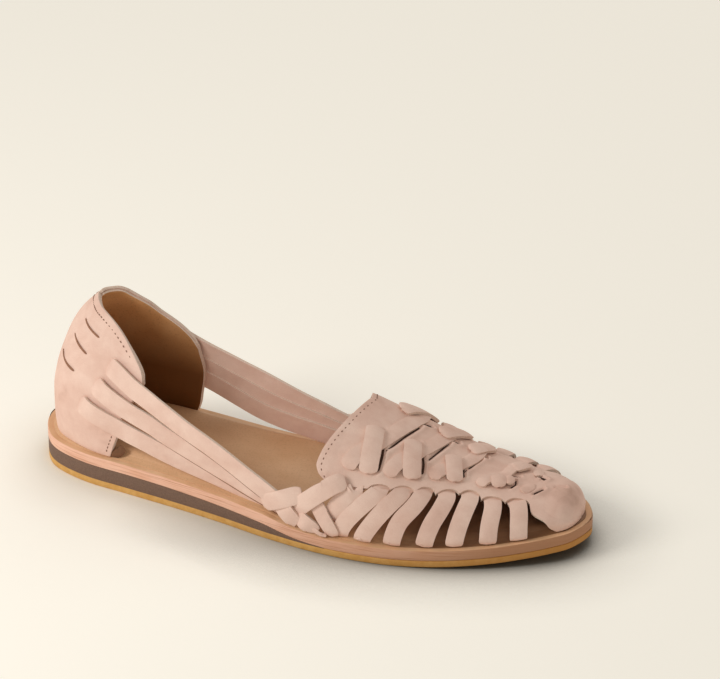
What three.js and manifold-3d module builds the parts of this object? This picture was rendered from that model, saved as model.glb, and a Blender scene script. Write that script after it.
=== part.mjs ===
// Woven leather sandal, a huarache flat for the right foot, empty on its sole.
// Millimetres. X runs to the toe, Y to the medial side and Z up from the floor. The surfaces are worked
// out from the heel's back; the finished sandal is then set with its origin under the heel's middle.
import * as THREE from "three";
import Module from "manifold-3d";

const wasm = await Module();
wasm.setup();

// Sole
const shoeLength = 258;
const heelCentre = 30;
const ballWidth = 84;
const toeSpring = 6;
const gumThickness = 3.1;
const wedgeHeight = 6.3;
const midsoleThickness = 4.7;
const insoleThickness = 1.8;
const layerGap = 0.3;
const rimWidth = 4.2;
const soleStations = 40;

// Upper
const instepHeight = 43.6;
const instepOffset = 8.5;
const sideBulge = 1.5;
const toeCurl = 13;
const noseStep = 0.1;
const upperWall = 1.6;
const counterWall = 2.6;
const marginWall = 1.3;
const marginWidth = 7;
const marginSetback = 0.7;
const seat = 0.4;
const counterHeight = 64.5;
const counterLean = 19.5;
const throatFade = 26;
const stripThickness = 1.5;
const bedding = 0.65;
const sideStripWidth = 8.8;
const strapWidth = 9;
const knotWidth = 8;
const loopWidth = 9.2;
const bandWidth = 7.6;
const slitWidth = 1.1;
const grooveDepth = 1.1;

// Half widths of the sole as shares of the ball width, at shares of the length from the heel's back.
const soleOutline = [
  { along: 0.000, lateral: 0.000, medial: 0.000 },
  { along: 0.016, lateral: 0.161, medial: 0.173 },
  { along: 0.050, lateral: 0.277, medial: 0.283 },
  { along: 0.116, lateral: 0.355, medial: 0.333 },
  { along: 0.194, lateral: 0.390, medial: 0.333 },
  { along: 0.290, lateral: 0.431, medial: 0.310 },
  { along: 0.388, lateral: 0.482, medial: 0.289 },
  { along: 0.484, lateral: 0.543, medial: 0.304 },
  { along: 0.581, lateral: 0.579, medial: 0.351 },
  { along: 0.678, lateral: 0.569, medial: 0.412 },
  { along: 0.775, lateral: 0.507, medial: 0.436 },
  { along: 0.853, lateral: 0.417, medial: 0.395 },
  { along: 0.911, lateral: 0.321, medial: 0.333 },
  { along: 0.957, lateral: 0.225, medial: 0.230 },
  { along: 0.984, lateral: 0.143, medial: 0.133 },
  { along: 1.000, lateral: 0.000, medial: 0.000 },
];

// Height of the wedge as a share of the wedge height; it is skived to nothing at the arch.
const wedgeProfile = [
  { along: 0.00, height: 1.00 },
  { along: 0.20, height: 1.00 },
  { along: 0.35, height: 0.84 },
  { along: 0.43, height: 0.67 },
  { along: 0.47, height: 0.56 },
  { along: 0.51, height: 0.27 },
  { along: 0.54, height: 0.09 },
  { along: 0.58, height: 0.00 },
  { along: 1.00, height: 0.00 },
];
const wedgeEnd = 0.54;
const springStart = 0.70;
const springPower = 1.6;

// Sections of the last over the forefoot: height of the ridge as a share of the instep height, its
// offset as a share of the instep offset, and how full the side and the top of the section are.
const lastSections = [
  { along: 0.440, ridge: 1.014, offset: 0.94, side: 0.62, top: 0.62 },
  { along: 0.520, ridge: 1.000, offset: 1.00, side: 0.62, top: 0.60 },
  { along: 0.580, ridge: 0.945, offset: 1.00, side: 0.62, top: 0.58 },
  { along: 0.640, ridge: 0.830, offset: 0.94, side: 0.60, top: 0.56 },
  { along: 0.700, ridge: 0.688, offset: 0.82, side: 0.60, top: 0.55 },
  { along: 0.760, ridge: 0.541, offset: 0.65, side: 0.60, top: 0.55 },
  { along: 0.820, ridge: 0.431, offset: 0.47, side: 0.62, top: 0.56 },
  { along: 0.880, ridge: 0.362, offset: 0.29, side: 0.64, top: 0.58 },
  { along: 0.940, ridge: 0.317, offset: 0.12, side: 0.68, top: 0.60 },
  { along: 1.000, ridge: 0.287, offset: 0.00, side: 0.72, top: 0.62 },
];

// The heel's wall at shares of the counter height: its lean to the front and its narrowing.
const heelSections = [
  { height: 0.00, lean: 0.00, narrow: 1.00 },
  { height: 0.15, lean: -0.03, narrow: 1.03 },
  { height: 0.31, lean: -0.02, narrow: 1.01 },
  { height: 0.47, lean: 0.07, narrow: 0.95 },
  { height: 0.62, lean: 0.23, narrow: 0.86 },
  { height: 0.78, lean: 0.44, narrow: 0.74 },
  { height: 0.90, lean: 0.69, narrow: 0.62 },
  { height: 1.02, lean: 1.08, narrow: 0.50 },
  { height: 1.12, lean: 1.42, narrow: 0.42 },
];
const heelFade = { from: 0.078, over: 0.31 };

// Collar of the counter, height as a share of the counter height.
const collar = {
  lateral: [
    { along: 0.000, height: 1.045 },
    { along: 0.018, height: 1.026 },
    { along: 0.038, height: 1.000 },
    { along: 0.068, height: 0.966 },
    { along: 0.114, height: 0.904 },
    { along: 0.160, height: 0.820 },
    { along: 0.192, height: 0.738 },
    { along: 0.208, height: 0.676 },
    { along: 0.215, height: 0.610 },
  ],
  medial: [
    { along: 0.000, height: 1.045 },
    { along: 0.018, height: 1.042 },
    { along: 0.040, height: 1.027 },
    { along: 0.075, height: 0.969 },
    { along: 0.121, height: 0.888 },
    { along: 0.153, height: 0.815 },
    { along: 0.190, height: 0.735 },
    { along: 0.216, height: 0.668 },
    { along: 0.233, height: 0.612 },
    { along: 0.246, height: 0.545 },
  ],
};

// Front edge of the counter, from the sole up.
const counterFront = {
  lateral: [
    { height: 0.000, along: 0.164 },
    { height: 0.170, along: 0.178 },
    { height: 0.312, along: 0.188 },
    { height: 0.464, along: 0.203 },
    { height: 0.610, along: 0.215 },
  ],
  medial: [
    { height: 0.000, along: 0.240 },
    { height: 0.130, along: 0.252 },
    { height: 0.350, along: 0.260 },
    { height: 0.545, along: 0.246 },
  ],
};

// Edge of the vamp at each side, in shares of the way from the ridge to the sole; it drops to the
// sole as the edge of the toe cap.
const vampEdge = [
  { along: 0.560, share: 0.690 },
  { along: 0.600, share: 0.668 },
  { along: 0.635, share: 0.638 },
  { along: 0.676, share: 0.585 },
  { along: 0.710, share: 0.522 },
  { along: 0.740, share: 0.478 },
  { along: 0.775, share: 0.412 },
  { along: 0.810, share: 0.372 },
  { along: 0.850, share: 0.368 },
  { along: 0.888, share: 0.356 },
  { along: 0.905, share: 0.420 },
  { along: 0.917, share: 0.540 },
  { along: 0.940, share: 0.720 },
  { along: 0.953, share: 0.940 },
  { along: 0.962, share: 1.000 },
  { along: 1.000, share: 1.000 },
];
const throatAlong = 0.592;

// How far the throat's edge comes back at each share of the way from the ridge to the sole.
const throatEdge = [
  { share: 0.000, lateral: 0.0, medial: 0.0 },
  { share: 0.250, lateral: 4.3, medial: 2.5 },
  { share: 0.500, lateral: 8.8, medial: 5.0 },
  { share: 0.580, lateral: 9.4, medial: 5.6 },
  { share: 0.630, lateral: 7.8, medial: 4.8 },
  { share: 0.655, lateral: 5.4, medial: 3.2 },
  { share: 0.675, lateral: 2.4, medial: 1.4 },
  { share: 0.700, lateral: 0.0, medial: 0.0 },
];

// Side strips: where the top comes through the vamp and where the foot is tucked in at the sole.
const sideStrips = [
  { topAlong: 0.641, topShare: 0.600, footAlong: 0.600, footShare: 0.90 },
  { topAlong: 0.679, topShare: 0.550, footAlong: 0.618, footShare: 1.00 },
  { topAlong: 0.714, topShare: 0.490, footAlong: 0.655, footShare: 1.00 },
  { topAlong: 0.743, topShare: 0.445, footAlong: 0.707, footShare: 1.00 },
  { topAlong: 0.777, topShare: 0.380, footAlong: 0.757, footShare: 1.00 },
  { topAlong: 0.809, topShare: 0.335, footAlong: 0.806, footShare: 1.00 },
  { topAlong: 0.850, topShare: 0.335, footAlong: 0.857, footShare: 1.00 },
  { topAlong: 0.893, topShare: 0.315, footAlong: 0.905, footShare: 1.00 },
];

// Rows of the weave over the vamp: a band across and an oval loop over it on each side. Distances
// across are arc lengths from the ridge as shares of half the section's girth.
const weaveRows = [
  { apex: 0.667, stubAlong: 0.610, stubAcross: 0.47, loopAlong: 0.636, loopAcross: 0.345, loopLength: 25, slant: 0.20, scale: 1.00 },
  { apex: 0.722, stubAlong: 0.679, stubAcross: 0.41, loopAlong: 0.697, loopAcross: 0.260, loopLength: 20, slant: 0.32, scale: 1.00 },
  { apex: 0.780, stubAlong: 0.742, stubAcross: 0.29, loopAlong: 0.762, loopAcross: 0.190, loopLength: 15, slant: 0.30, scale: 0.94 },
  { apex: 0.838, stubAlong: 0.812, stubAcross: 0.23, loopAlong: 0.826, loopAcross: 0.150, loopLength: 10, slant: 0.30, scale: 0.72 },
];
const toeBumps = { along: 0.893, across: 0.12, length: 7, slitAlong: 0.912, slitAcross: 0.16, slitLength: 6 };

// Straps from the counter to the knot at the waist, from the top one down: height over the footbed
// as a share of the counter height.
const straps = {
  lateral: [
    [
      { along: 0.136, height: 0.668, lift: -0.6 },
      { along: 0.160, height: 0.638, lift: 0.9 },
      { along: 0.213, height: 0.557, lift: 1.0 },
      { along: 0.260, height: 0.490, lift: 0.8 },
      { along: 0.326, height: 0.390, lift: 0.8 },
      { along: 0.383, height: 0.306, lift: 0.9 },
      { along: 0.465, height: 0.183, lift: 1.2 },
      { along: 0.505, height: 0.125, lift: 0.6 },
    ],
    [
      { along: 0.123, height: 0.520, lift: -0.6 },
      { along: 0.145, height: 0.482, lift: 0.9 },
      { along: 0.190, height: 0.413, lift: 0.8 },
      { along: 0.245, height: 0.345, lift: 0.3 },
      { along: 0.286, height: 0.286, lift: 0.2 },
      { along: 0.383, height: 0.177, lift: 0.1 },
      { along: 0.465, height: 0.112, lift: 0.1 },
      { along: 0.500, height: 0.090, lift: -0.2 },
    ],
    [
      { along: 0.103, height: 0.358, lift: -0.6 },
      { along: 0.123, height: 0.325, lift: 0.9 },
      { along: 0.181, height: 0.252, lift: 0.4 },
      { along: 0.223, height: 0.206, lift: 0.0 },
      { along: 0.285, height: 0.150, lift: -0.3 },
      { along: 0.383, height: 0.103, lift: -0.8 },
      { along: 0.465, height: 0.085, lift: -1.1 },
      { along: 0.495, height: 0.080, lift: -1.2 },
    ],
  ],
  medial: [
    [
      { along: 0.160, height: 0.640, lift: -0.6 },
      { along: 0.182, height: 0.612, lift: 0.9 },
      { along: 0.225, height: 0.545, lift: 1.0 },
      { along: 0.260, height: 0.500, lift: 0.8 },
      { along: 0.320, height: 0.435, lift: 0.8 },
      { along: 0.384, height: 0.368, lift: 0.9 },
      { along: 0.465, height: 0.262, lift: 1.0 },
      { along: 0.518, height: 0.208, lift: 0.8 },
      { along: 0.545, height: 0.180, lift: 0.4 },
    ],
    [
      { along: 0.147, height: 0.490, lift: -0.6 },
      { along: 0.170, height: 0.462, lift: 0.9 },
      { along: 0.215, height: 0.412, lift: 0.8 },
      { along: 0.260, height: 0.378, lift: 0.3 },
      { along: 0.320, height: 0.312, lift: 0.2 },
      { along: 0.384, height: 0.244, lift: 0.1 },
      { along: 0.465, height: 0.166, lift: 0.1 },
      { along: 0.520, height: 0.130, lift: -0.2 },
    ],
    [
      { along: 0.130, height: 0.345, lift: -0.6 },
      { along: 0.152, height: 0.322, lift: 0.9 },
      { along: 0.205, height: 0.296, lift: 0.4 },
      { along: 0.260, height: 0.276, lift: -0.2 },
      { along: 0.320, height: 0.205, lift: -0.5 },
      { along: 0.384, height: 0.140, lift: -0.8 },
      { along: 0.465, height: 0.095, lift: -1.1 },
      { along: 0.510, height: 0.082, lift: -1.2 },
    ],
  ],
};

// Braided ends at the waist, each a short strip over the side of the last.
const knots = [
  [
    { along: 0.630, share: 0.600, lift: 0.2 },
    { along: 0.605, share: 0.690, lift: 1.8 },
    { along: 0.570, share: 0.810, lift: 2.2 },
    { along: 0.535, share: 0.905, lift: 1.4 },
    { along: 0.515, share: 0.960, lift: -0.2 },
  ],
  [
    { along: 0.455, share: 0.965, lift: 0.2 },
    { along: 0.480, share: 0.910, lift: 2.4 },
    { along: 0.515, share: 0.855, lift: 2.6 },
    { along: 0.550, share: 0.800, lift: 0.6 },
  ],
  [
    { along: 0.488, share: 0.915, lift: 0.4 },
    { along: 0.515, share: 0.955, lift: 2.0 },
    { along: 0.545, share: 0.995, lift: 0.9 },
  ],
  [
    { along: 0.530, share: 0.905, lift: 0.3 },
    { along: 0.556, share: 0.945, lift: 2.2 },
    { along: 0.578, share: 1.000, lift: 0.7 },
  ],
  [
    { along: 0.545, share: 0.845, lift: -0.2 },
    { along: 0.578, share: 0.905, lift: 0.8 },
    { along: 0.606, share: 1.000, lift: 0.2 },
  ],
];

// Short slits in the counter with the leather between them raised.
const counterSlits = [
  { fromAlong: 0.042, fromHeight: 0.887, toAlong: 0.090, toHeight: 0.811 },
  { fromAlong: 0.041, fromHeight: 0.770, toAlong: 0.083, toHeight: 0.683 },
  { fromAlong: 0.029, fromHeight: 0.604, toAlong: 0.072, toHeight: 0.540 },
];

// A smooth curve through one column of a table, with no overshoot between its rows.
function follow(rows, from, to) {
  const x = rows.map((row) => row[from]);
  const y = rows.map((row) => row[to]);
  const slopes = x.slice(1).map((end, i) => (y[i + 1] - y[i]) / (end - x[i]));
  const tangents = x.map((_, i) => {
    if (i === 0) return slopes[0];
    if (i === x.length - 1) return slopes[i - 1];
    const before = slopes[i - 1];
    const after = slopes[i];
    return before * after <= 0 ? 0 : (2 * before * after) / (before + after);
  });
  return (at) => {
    const place = THREE.MathUtils.clamp(at, x[0], x[x.length - 1]);
    let i = 0;
    while (i < x.length - 2 && place > x[i + 1]) i += 1;
    const span = x[i + 1] - x[i];
    const t = (place - x[i]) / span;
    const lead = (1 + 2 * t) * (1 - t) ** 2 * y[i] + t * (1 - t) ** 2 * span * tangents[i];
    return lead + t * t * (3 - 2 * t) * y[i + 1] + t * t * (t - 1) * span * tangents[i + 1];
  };
}

// Sole surfaces
const outlineCurve = new THREE.CatmullRomCurve3(
  [
    ...soleOutline.map((row) => new THREE.Vector3(row.along * shoeLength, -row.lateral * ballWidth, 0)),
    ...soleOutline.slice(1, -1).reverse()
      .map((row) => new THREE.Vector3(row.along * shoeLength, row.medial * ballWidth, 0)),
  ],
  true, "catmullrom", 0.5,
);

// A point of the sole's outline, moved in by an inset; share 0 is the heel's back, 1 the toe's tip.
function outlinePoint(share, side, inset) {
  const place = side < 0 ? share / 2 : 1 - share / 2;
  const step = 0.001;
  const point = outlineCurve.getPoint((place + 1) % 1);
  const ahead = outlineCurve.getPoint((place + step) % 1);
  const behind = outlineCurve.getPoint((place + 1 - step) % 1);
  const tangent = ahead.sub(behind).normalize();
  return new THREE.Vector3(point.x - tangent.y * inset, point.y + tangent.x * inset, 0);
}

const wedgeShare = follow(wedgeProfile, "along", "height");

function floorLift(x) {
  const rise = THREE.MathUtils.clamp((x / shoeLength - springStart) / (1 - springStart), 0, 1);
  return toeSpring * rise ** springPower;
}

const gumTop = (x) => floorLift(x) + gumThickness;
const wedgeTop = (x) => gumTop(x) + layerGap + wedgeHeight * wedgeShare(x / shoeLength);
const midsoleBottom = (x) => wedgeTop(x) + layerGap * Math.sign(wedgeShare(x / shoeLength));
const midsoleTop = (x) => midsoleBottom(x) + midsoleThickness;
const lastBottom = (x) => midsoleTop(x) + layerGap;
const insoleBottom = (x) => lastBottom(x) + marginWall + layerGap;

// A closed body from its points and triangles, turned outwards.
function closedBody(points, triangles) {
  const vertProperties = new Float32Array(points.flatMap((p) => [p.x, p.y, p.z]));
  const build = (list) => new wasm.Manifold(
    new wasm.Mesh({ numProp: 3, vertProperties, triVerts: new Uint32Array(list.flat()) }),
  );
  const normal = new THREE.Vector3();
  const volume = triangles.reduce((sum, [a, b, c]) => {
    return sum + normal.copy(points[a]).dot(points[b].clone().cross(points[c]));
  }, 0);
  return build(volume > 0 ? triangles : triangles.map(([a, b, c]) => [a, c, b]));
}

// A body lofted through rings of equal count, closed at both ends or round in a loop.
function loft(rings, looped) {
  const count = rings[0].length;
  const triangles = [];
  const spans = looped ? rings.length : rings.length - 1;
  for (let i = 0; i < spans; i += 1) {
    const here = i * count;
    const next = ((i + 1) % rings.length) * count;
    for (let j = 0; j < count; j += 1) {
      const k = (j + 1) % count;
      triangles.push([here + j, here + k, next + k], [here + j, next + k, next + j]);
    }
  }
  if (!looped) {
    const last = (rings.length - 1) * count;
    for (let j = 1; j < count - 1; j += 1) {
      triangles.push([0, j + 1, j], [last, last + j, last + j + 1]);
    }
  }
  return closedBody(rings.flat(), triangles);
}

// A layer of the sole between two heights, its edge moved in by an inset.
function soleLayer(inset, bottom, top, endShare) {
  const tip = 0.002;
  const rings = [];
  for (let i = 0; i <= soleStations; i += 1) {
    const share = THREE.MathUtils.lerp(tip, endShare === 1 ? 1 - tip : endShare, i / soleStations);
    const lateral = outlinePoint(share, -1, inset);
    const medial = outlinePoint(share, 1, inset);
    rings.push([
      new THREE.Vector3(lateral.x, lateral.y, bottom(lateral.x)),
      new THREE.Vector3(medial.x, medial.y, bottom(medial.x)),
      new THREE.Vector3(medial.x, medial.y, top(medial.x)),
      new THREE.Vector3(lateral.x, lateral.y, top(lateral.x)),
    ]);
  }
  return loft(rings, false);
}

// The last
const tipX = shoeLength - rimWidth;
const ridgeHeight = follow(lastSections, "along", "ridge");
const ridgeOffset = follow(lastSections, "along", "offset");
const sideFullness = follow(lastSections, "along", "side");
const topFullness = follow(lastSections, "along", "top");
const heelLean = follow(heelSections, "height", "lean");
const heelNarrow = follow(heelSections, "height", "narrow");

// The line where the last meets the sole, as pairs of x and half width.
const featherSamples = 400;
const featherLine = [-1, 1].map((side) => {
  return Array.from({ length: featherSamples + 1 }, (_, i) => outlinePoint(i / featherSamples, side, rimWidth));
});

function featherAt(x, side) {
  const line = featherLine[side < 0 ? 0 : 1];
  let i = 0;
  while (i < line.length - 2 && line[i + 1].x < x) i += 1;
  const t = THREE.MathUtils.clamp((x - line[i].x) / (line[i + 1].x - line[i].x), 0, 1);
  return THREE.MathUtils.lerp(line[i].y, line[i + 1].y, t);
}

// The share of the outline at which the line reaches x.
function featherShare(x, side) {
  const line = featherLine[side < 0 ? 0 : 1];
  let i = 0;
  while (i < line.length - 2 && line[i + 1].x < x) i += 1;
  const t = THREE.MathUtils.clamp((x - line[i].x) / (line[i + 1].x - line[i].x), 0, 1);
  return (i + t) / featherSamples;
}

// The forefoot of the last: x, and the share from -1 at the lateral edge over the ridge to 1.
function vampPoint(x, share) {
  const along = x / shoeLength;
  const side = Math.sign(share) || 1;
  const up = 1 - Math.abs(share);
  const edge = featherAt(x, side);
  const curl = THREE.MathUtils.clamp((x - (tipX - toeCurl)) / toeCurl, 0, 1);
  const height = instepHeight * ridgeHeight(along) * Math.sqrt(1 - curl * curl);
  const ridge = instepOffset * ridgeOffset(along);
  const weights = [(1 - up) ** 3, 3 * up * (1 - up) ** 2, 3 * up * up * (1 - up), up ** 3];
  const across = [edge, edge + side * sideBulge, ridge + (edge - ridge) * topFullness(along), ridge];
  const over = [0, height * sideFullness(along), height, height];
  const mix = (list) => list.reduce((sum, value, i) => sum + value * weights[i], 0);
  return new THREE.Vector3(x, mix(across), lastBottom(x) + mix(over));
}

// The heel and waist of the last: share of the outline and height over the last's bottom.
function wallPoint(share, height, side) {
  const foot = outlinePoint(share, side, rimWidth);
  const t = THREE.MathUtils.clamp((foot.x / shoeLength - heelFade.from) / heelFade.over, 0, 1);
  const fade = 1 - t * t * (3 - 2 * t);
  const level = height / counterHeight;
  const x = foot.x + counterLean * heelLean(level) * fade;
  const y = foot.y * (1 + (heelNarrow(level) - 1) * fade);
  return new THREE.Vector3(x, y, lastBottom(foot.x) + height);
}

// A point lifted off a surface along its outward normal. What would reach the sole stops in the margin.
function lifted(surface, u, v, lift, stepU, stepV, outward) {
  const point = surface(u, v);
  const alongU = surface(u + stepU, v).sub(surface(u - stepU, v));
  const alongV = surface(u, v + stepV).sub(surface(u, v - stepV));
  const normal = alongU.cross(alongV).normalize().multiplyScalar(outward);
  const raised = point.addScaledVector(normal, lift);
  raised.z = Math.max(raised.z, lastBottom(raised.x) + seat);
  return raised;
}

// Skins: each takes two coordinates and a lift.
const vampSkin = (x, share, lift) => {
  const inside = Math.min(x, tipX - 0.9);
  return lifted(vampPoint, inside, THREE.MathUtils.clamp(share, -0.999, 0.999), lift, 0.4, 0.001, 1);
};
const wallSkin = (side) => (share, height, lift) => {
  const wall = (u, v) => wallPoint(u, v, side);
  return lifted(wall, share, height, lift, 0.002, 0.5, -side);
};

// Half the girth of the forefoot at x on one side, and the share at an arc length from the ridge.
const girthSteps = 40;
function shareAtArc(x, arc) {
  const side = Math.sign(arc) || 1;
  let length = 0;
  let before = vampPoint(x, 0);
  for (let i = 1; i <= girthSteps; i += 1) {
    const next = vampPoint(x, (side * i) / girthSteps);
    const step = next.distanceTo(before);
    if (length + step >= Math.abs(arc)) {
      return side * ((i - 1 + (Math.abs(arc) - length) / step) / girthSteps);
    }
    length += step;
    before = next;
  }
  return side;
}

function halfGirth(x, side) {
  let length = 0;
  for (let i = 1; i <= girthSteps; i += 1) {
    length += vampPoint(x, (side * i) / girthSteps).distanceTo(vampPoint(x, (side * (i - 1)) / girthSteps));
  }
  return length;
}

// A wall of even thickness over a grid of places, each place giving its point at a lift.
function sheet(grid, outer, inner) {
  const rows = grid.length;
  const columns = grid[0].length;
  const points = [outer, inner].flatMap((lift) => grid.flat().map((place) => place(lift)));
  const back = rows * columns;
  const at = (i, j) => i * columns + j;
  const triangles = [];
  for (let i = 0; i < rows - 1; i += 1) {
    for (let j = 0; j < columns - 1; j += 1) {
      const quad = [at(i, j), at(i + 1, j), at(i + 1, j + 1), at(i, j + 1)];
      triangles.push([quad[0], quad[1], quad[2]], [quad[0], quad[2], quad[3]]);
      triangles.push([back + quad[0], back + quad[2], back + quad[1]]);
      triangles.push([back + quad[0], back + quad[3], back + quad[2]]);
    }
  }
  const border = [];
  for (let j = 0; j < columns - 1; j += 1) border.push(at(0, j));
  for (let i = 0; i < rows - 1; i += 1) border.push(at(i, columns - 1));
  for (let j = columns - 1; j > 0; j -= 1) border.push(at(rows - 1, j));
  for (let i = rows - 1; i > 0; i -= 1) border.push(at(i, 0));
  border.forEach((here, k) => {
    const next = border[(k + 1) % border.length];
    triangles.push([here, next, back + next], [here, back + next, back + here]);
  });
  return closedBody(points, triangles);
}

// A flat strip along a list of places on a skin, with round or square ends.
function ribbon(skin, places, width, thickness, segments, roundEnds) {
  const path = new THREE.CatmullRomCurve3(places.map(([u, v, lift]) => new THREE.Vector3(u, v, lift)));
  const rings = [];
  for (let i = 0; i <= segments; i += 1) {
    const t = i / segments;
    const ends = roundEnds ? Math.min(1, Math.sqrt(Math.max(0.12, 1 - (1 - 4 * Math.min(t, 1 - t)) ** 2))) : 1;
    const half = (width / 2) * (Math.min(t, 1 - t) < 0.25 ? ends : 1);
    const here = path.getPoint(t);
    const low = skin(here.x, here.y, here.z);
    const high = skin(here.x, here.y, here.z + thickness);
    const a = path.getPoint(Math.max(0, t - 0.02));
    const b = path.getPoint(Math.min(1, t + 0.02));
    const forward = skin(b.x, b.y, b.z).sub(skin(a.x, a.y, a.z)).normalize();
    const up = high.clone().sub(low).normalize();
    const across = up.clone().cross(forward).normalize().multiplyScalar(half);
    const ring = [low.clone().sub(across), low.clone().add(across), high.clone().add(across), high.clone().sub(across)];
    ring.forEach((point) => {
      point.z = Math.max(point.z, lastBottom(point.x) + seat);
    });
    rings.push(ring);
  }
  return loft(rings, false);
}

// Vamp and toe cap in one panel, from the throat to the tip.
function vampPanel() {
  const rows = 20;
  const columns = 16;
  const start = throatAlong * shoeLength;
  const end = tipX - 0.9;
  const edge = follow(vampEdge, "along", "share");
  const lateralSetback = follow(throatEdge, "share", "lateral");
  const medialSetback = follow(throatEdge, "share", "medial");
  const grid = [];
  for (let i = 0; i <= rows; i += 1) {
    const t = i / rows;
    const base = start + (end - start) * Math.sin((t * Math.PI) / 2) ** 0.92;
    const line = [];
    for (let j = 0; j <= columns; j += 1) {
      const across = (2 * j) / columns - 1;
      const share = across * edge(base / shoeLength);
      const fade = THREE.MathUtils.clamp(1 - (base - start) / throatFade, 0, 1);
      const setback = (share < 0 ? lateralSetback : medialSetback)(Math.abs(share)) * fade;
      line.push((lift) => vampSkin(base - setback, share, lift));
    }
    grid.push(line);
  }
  grid.push(grid[rows].map((_, j) => {
    const across = (2 * j) / columns - 1;
    return (lift) => new THREE.Vector3(
      tipX - noseStep + lift, across, lastBottom(tipX) + seat + 1 - Math.abs(across),
    );
  }));
  return sheet(grid, 0, -upperWall);
}

// Counter, from its lateral front edge round the heel to its medial front edge.
function counterPanel() {
  const rows = 7;
  const columns = 24;
  const heights = { "-1": follow(collar.lateral, "along", "height"), 1: follow(collar.medial, "along", "height") };
  const fronts = { "-1": follow(counterFront.lateral, "height", "along"), 1: follow(counterFront.medial, "height", "along") };
  const grid = [];
  for (let i = 0; i <= columns; i += 1) {
    const around = (2 * i) / columns - 1;
    const side = around < 0 ? -1 : 1;
    const line = [];
    const topShare = Math.abs(around) * featherShare(fronts[side](1) * shoeLength, side);
    const top = heights[side](outlinePoint(topShare, side, rimWidth).x / shoeLength);
    for (let j = 0; j <= rows; j += 1) {
      const level = (top * j) / rows;
      const share = Math.abs(around) * featherShare(fronts[side](level) * shoeLength, side);
      const skin = wallSkin(side);
      line.push((lift) => skin(Math.max(share, 0.001), level * counterHeight, lift));
    }
    grid.push(line);
  }
  return sheet(grid, 0, -counterWall);
}

// The lasting margin, turned in under the insole.
function lastingMargin() {
  const rings = [];
  for (let i = 0; i < 2 * soleStations; i += 1) {
    const place = i / soleStations;
    const side = place <= 1 ? -1 : 1;
    const share = place <= 1 ? place : 2 - place;
    const outer = outlinePoint(share, side, rimWidth + marginSetback);
    const inner = outlinePoint(share, side, rimWidth + marginWidth);
    rings.push([
      new THREE.Vector3(outer.x, outer.y, lastBottom(outer.x)),
      new THREE.Vector3(inner.x, inner.y, lastBottom(inner.x)),
      new THREE.Vector3(inner.x, inner.y, lastBottom(inner.x) + marginWall),
      new THREE.Vector3(outer.x, outer.y, lastBottom(outer.x) + marginWall),
    ]);
  }
  return loft(rings, true);
}

function sideStripBodies(side) {
  return sideStrips.map((row) => {
    const share = (t) => side * THREE.MathUtils.lerp(row.topShare, row.footShare, t);
    const x = (t) => shoeLength * THREE.MathUtils.lerp(row.topAlong, row.footAlong, t);
    const places = [
      [x(0), share(0), -1.0],
      [x(0.12), share(0.12), -0.5],
      [x(0.42), share(0.42), -0.2],
      [x(0.78), share(0.78), -0.6],
      [x(1.0), share(1), -1.4],
    ];
    return ribbon(vampSkin, places, sideStripWidth, stripThickness, 6, false);
  });
}

function weaveBodies() {
  const bodies = [];
  weaveRows.forEach((row) => {
    const apex = row.apex * shoeLength;
    const stub = row.stubAlong * shoeLength;
    const bandPlaces = [-1, -0.72, -0.35, 0, 0.35, 0.72, 1].map((t) => {
      const x = apex + (stub - apex) * t * t;
      const side = Math.sign(t) || 1;
      const arc = t * row.stubAcross * halfGirth(stub, side);
      return [x, shareAtArc(x, arc), -bedding];
    });
    bodies.push(ribbon(vampSkin, bandPlaces, bandWidth * row.scale, stripThickness, 10, true));
    [-1, 1].forEach((side) => {
      const centre = row.loopAlong * shoeLength;
      const middle = side * row.loopAcross * halfGirth(centre, side);
      const loopPlaces = [-0.5, -0.2, 0.2, 0.5].map((t) => {
        const x = centre + t * row.loopLength * row.slant;
        const arc = middle + side * t * row.loopLength;
        return [x, shareAtArc(x, arc), -bedding];
      });
      bodies.push(ribbon(vampSkin, loopPlaces, loopWidth * row.scale, 2 * stripThickness, 6, true));
    });
  });
  [-1, 1].forEach((side) => {
    const x = toeBumps.along * shoeLength;
    const middle = side * toeBumps.across * halfGirth(x, side);
    const places = [-0.5, 0, 0.5].map((t) => {
      return [x, shareAtArc(x, middle + t * toeBumps.length), -bedding];
    });
    bodies.push(ribbon(vampSkin, places, loopWidth * 0.6, stripThickness, 4, true));
  });
  return bodies;
}

function strapBodies(side) {
  return straps[side < 0 ? "lateral" : "medial"].map((rows) => {
    const places = rows.map((row) => {
      return [featherShare(row.along * shoeLength, side), row.height * counterHeight, row.lift];
    });
    return ribbon(wallSkin(side), places, strapWidth, stripThickness, 10, false);
  });
}

function knotBodies(side) {
  return knots.map((rows) => {
    const places = rows.map((row) => [row.along * shoeLength, side * row.share, row.lift]);
    return ribbon(vampSkin, places, knotWidth, stripThickness, 5, false);
  });
}

// Cuts: slits through the vamp behind the toe cap, and grooves in the counter's outer face.
function slitBodies() {
  const bodies = [];
  [-1, 1].forEach((side) => {
    const x = toeBumps.slitAlong * shoeLength;
    const middle = side * toeBumps.slitAcross * halfGirth(x, side);
    const ends = [-0.5, 0.5].map((t) => {
      const at = x - t * toeBumps.slitLength * 0.6;
      return [at, shareAtArc(at, middle + side * t * toeBumps.slitLength), -2 * upperWall];
    });
    bodies.push(ribbon(vampSkin, ends, slitWidth, 4 * upperWall, 2, false));
    counterSlits.forEach((row) => {
      const from = [featherShare(row.fromAlong * shoeLength, side), row.fromHeight * counterHeight, -grooveDepth];
      const to = [featherShare(row.toAlong * shoeLength, side), row.toHeight * counterHeight, -grooveDepth];
      bodies.push(ribbon(wallSkin(side), [from, to], slitWidth, 3 * grooveDepth, 2, false));
    });
  });
  return bodies;
}

function joined(bodies) {
  return bodies.reduce((whole, body) => whole.add(body));
}

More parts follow.
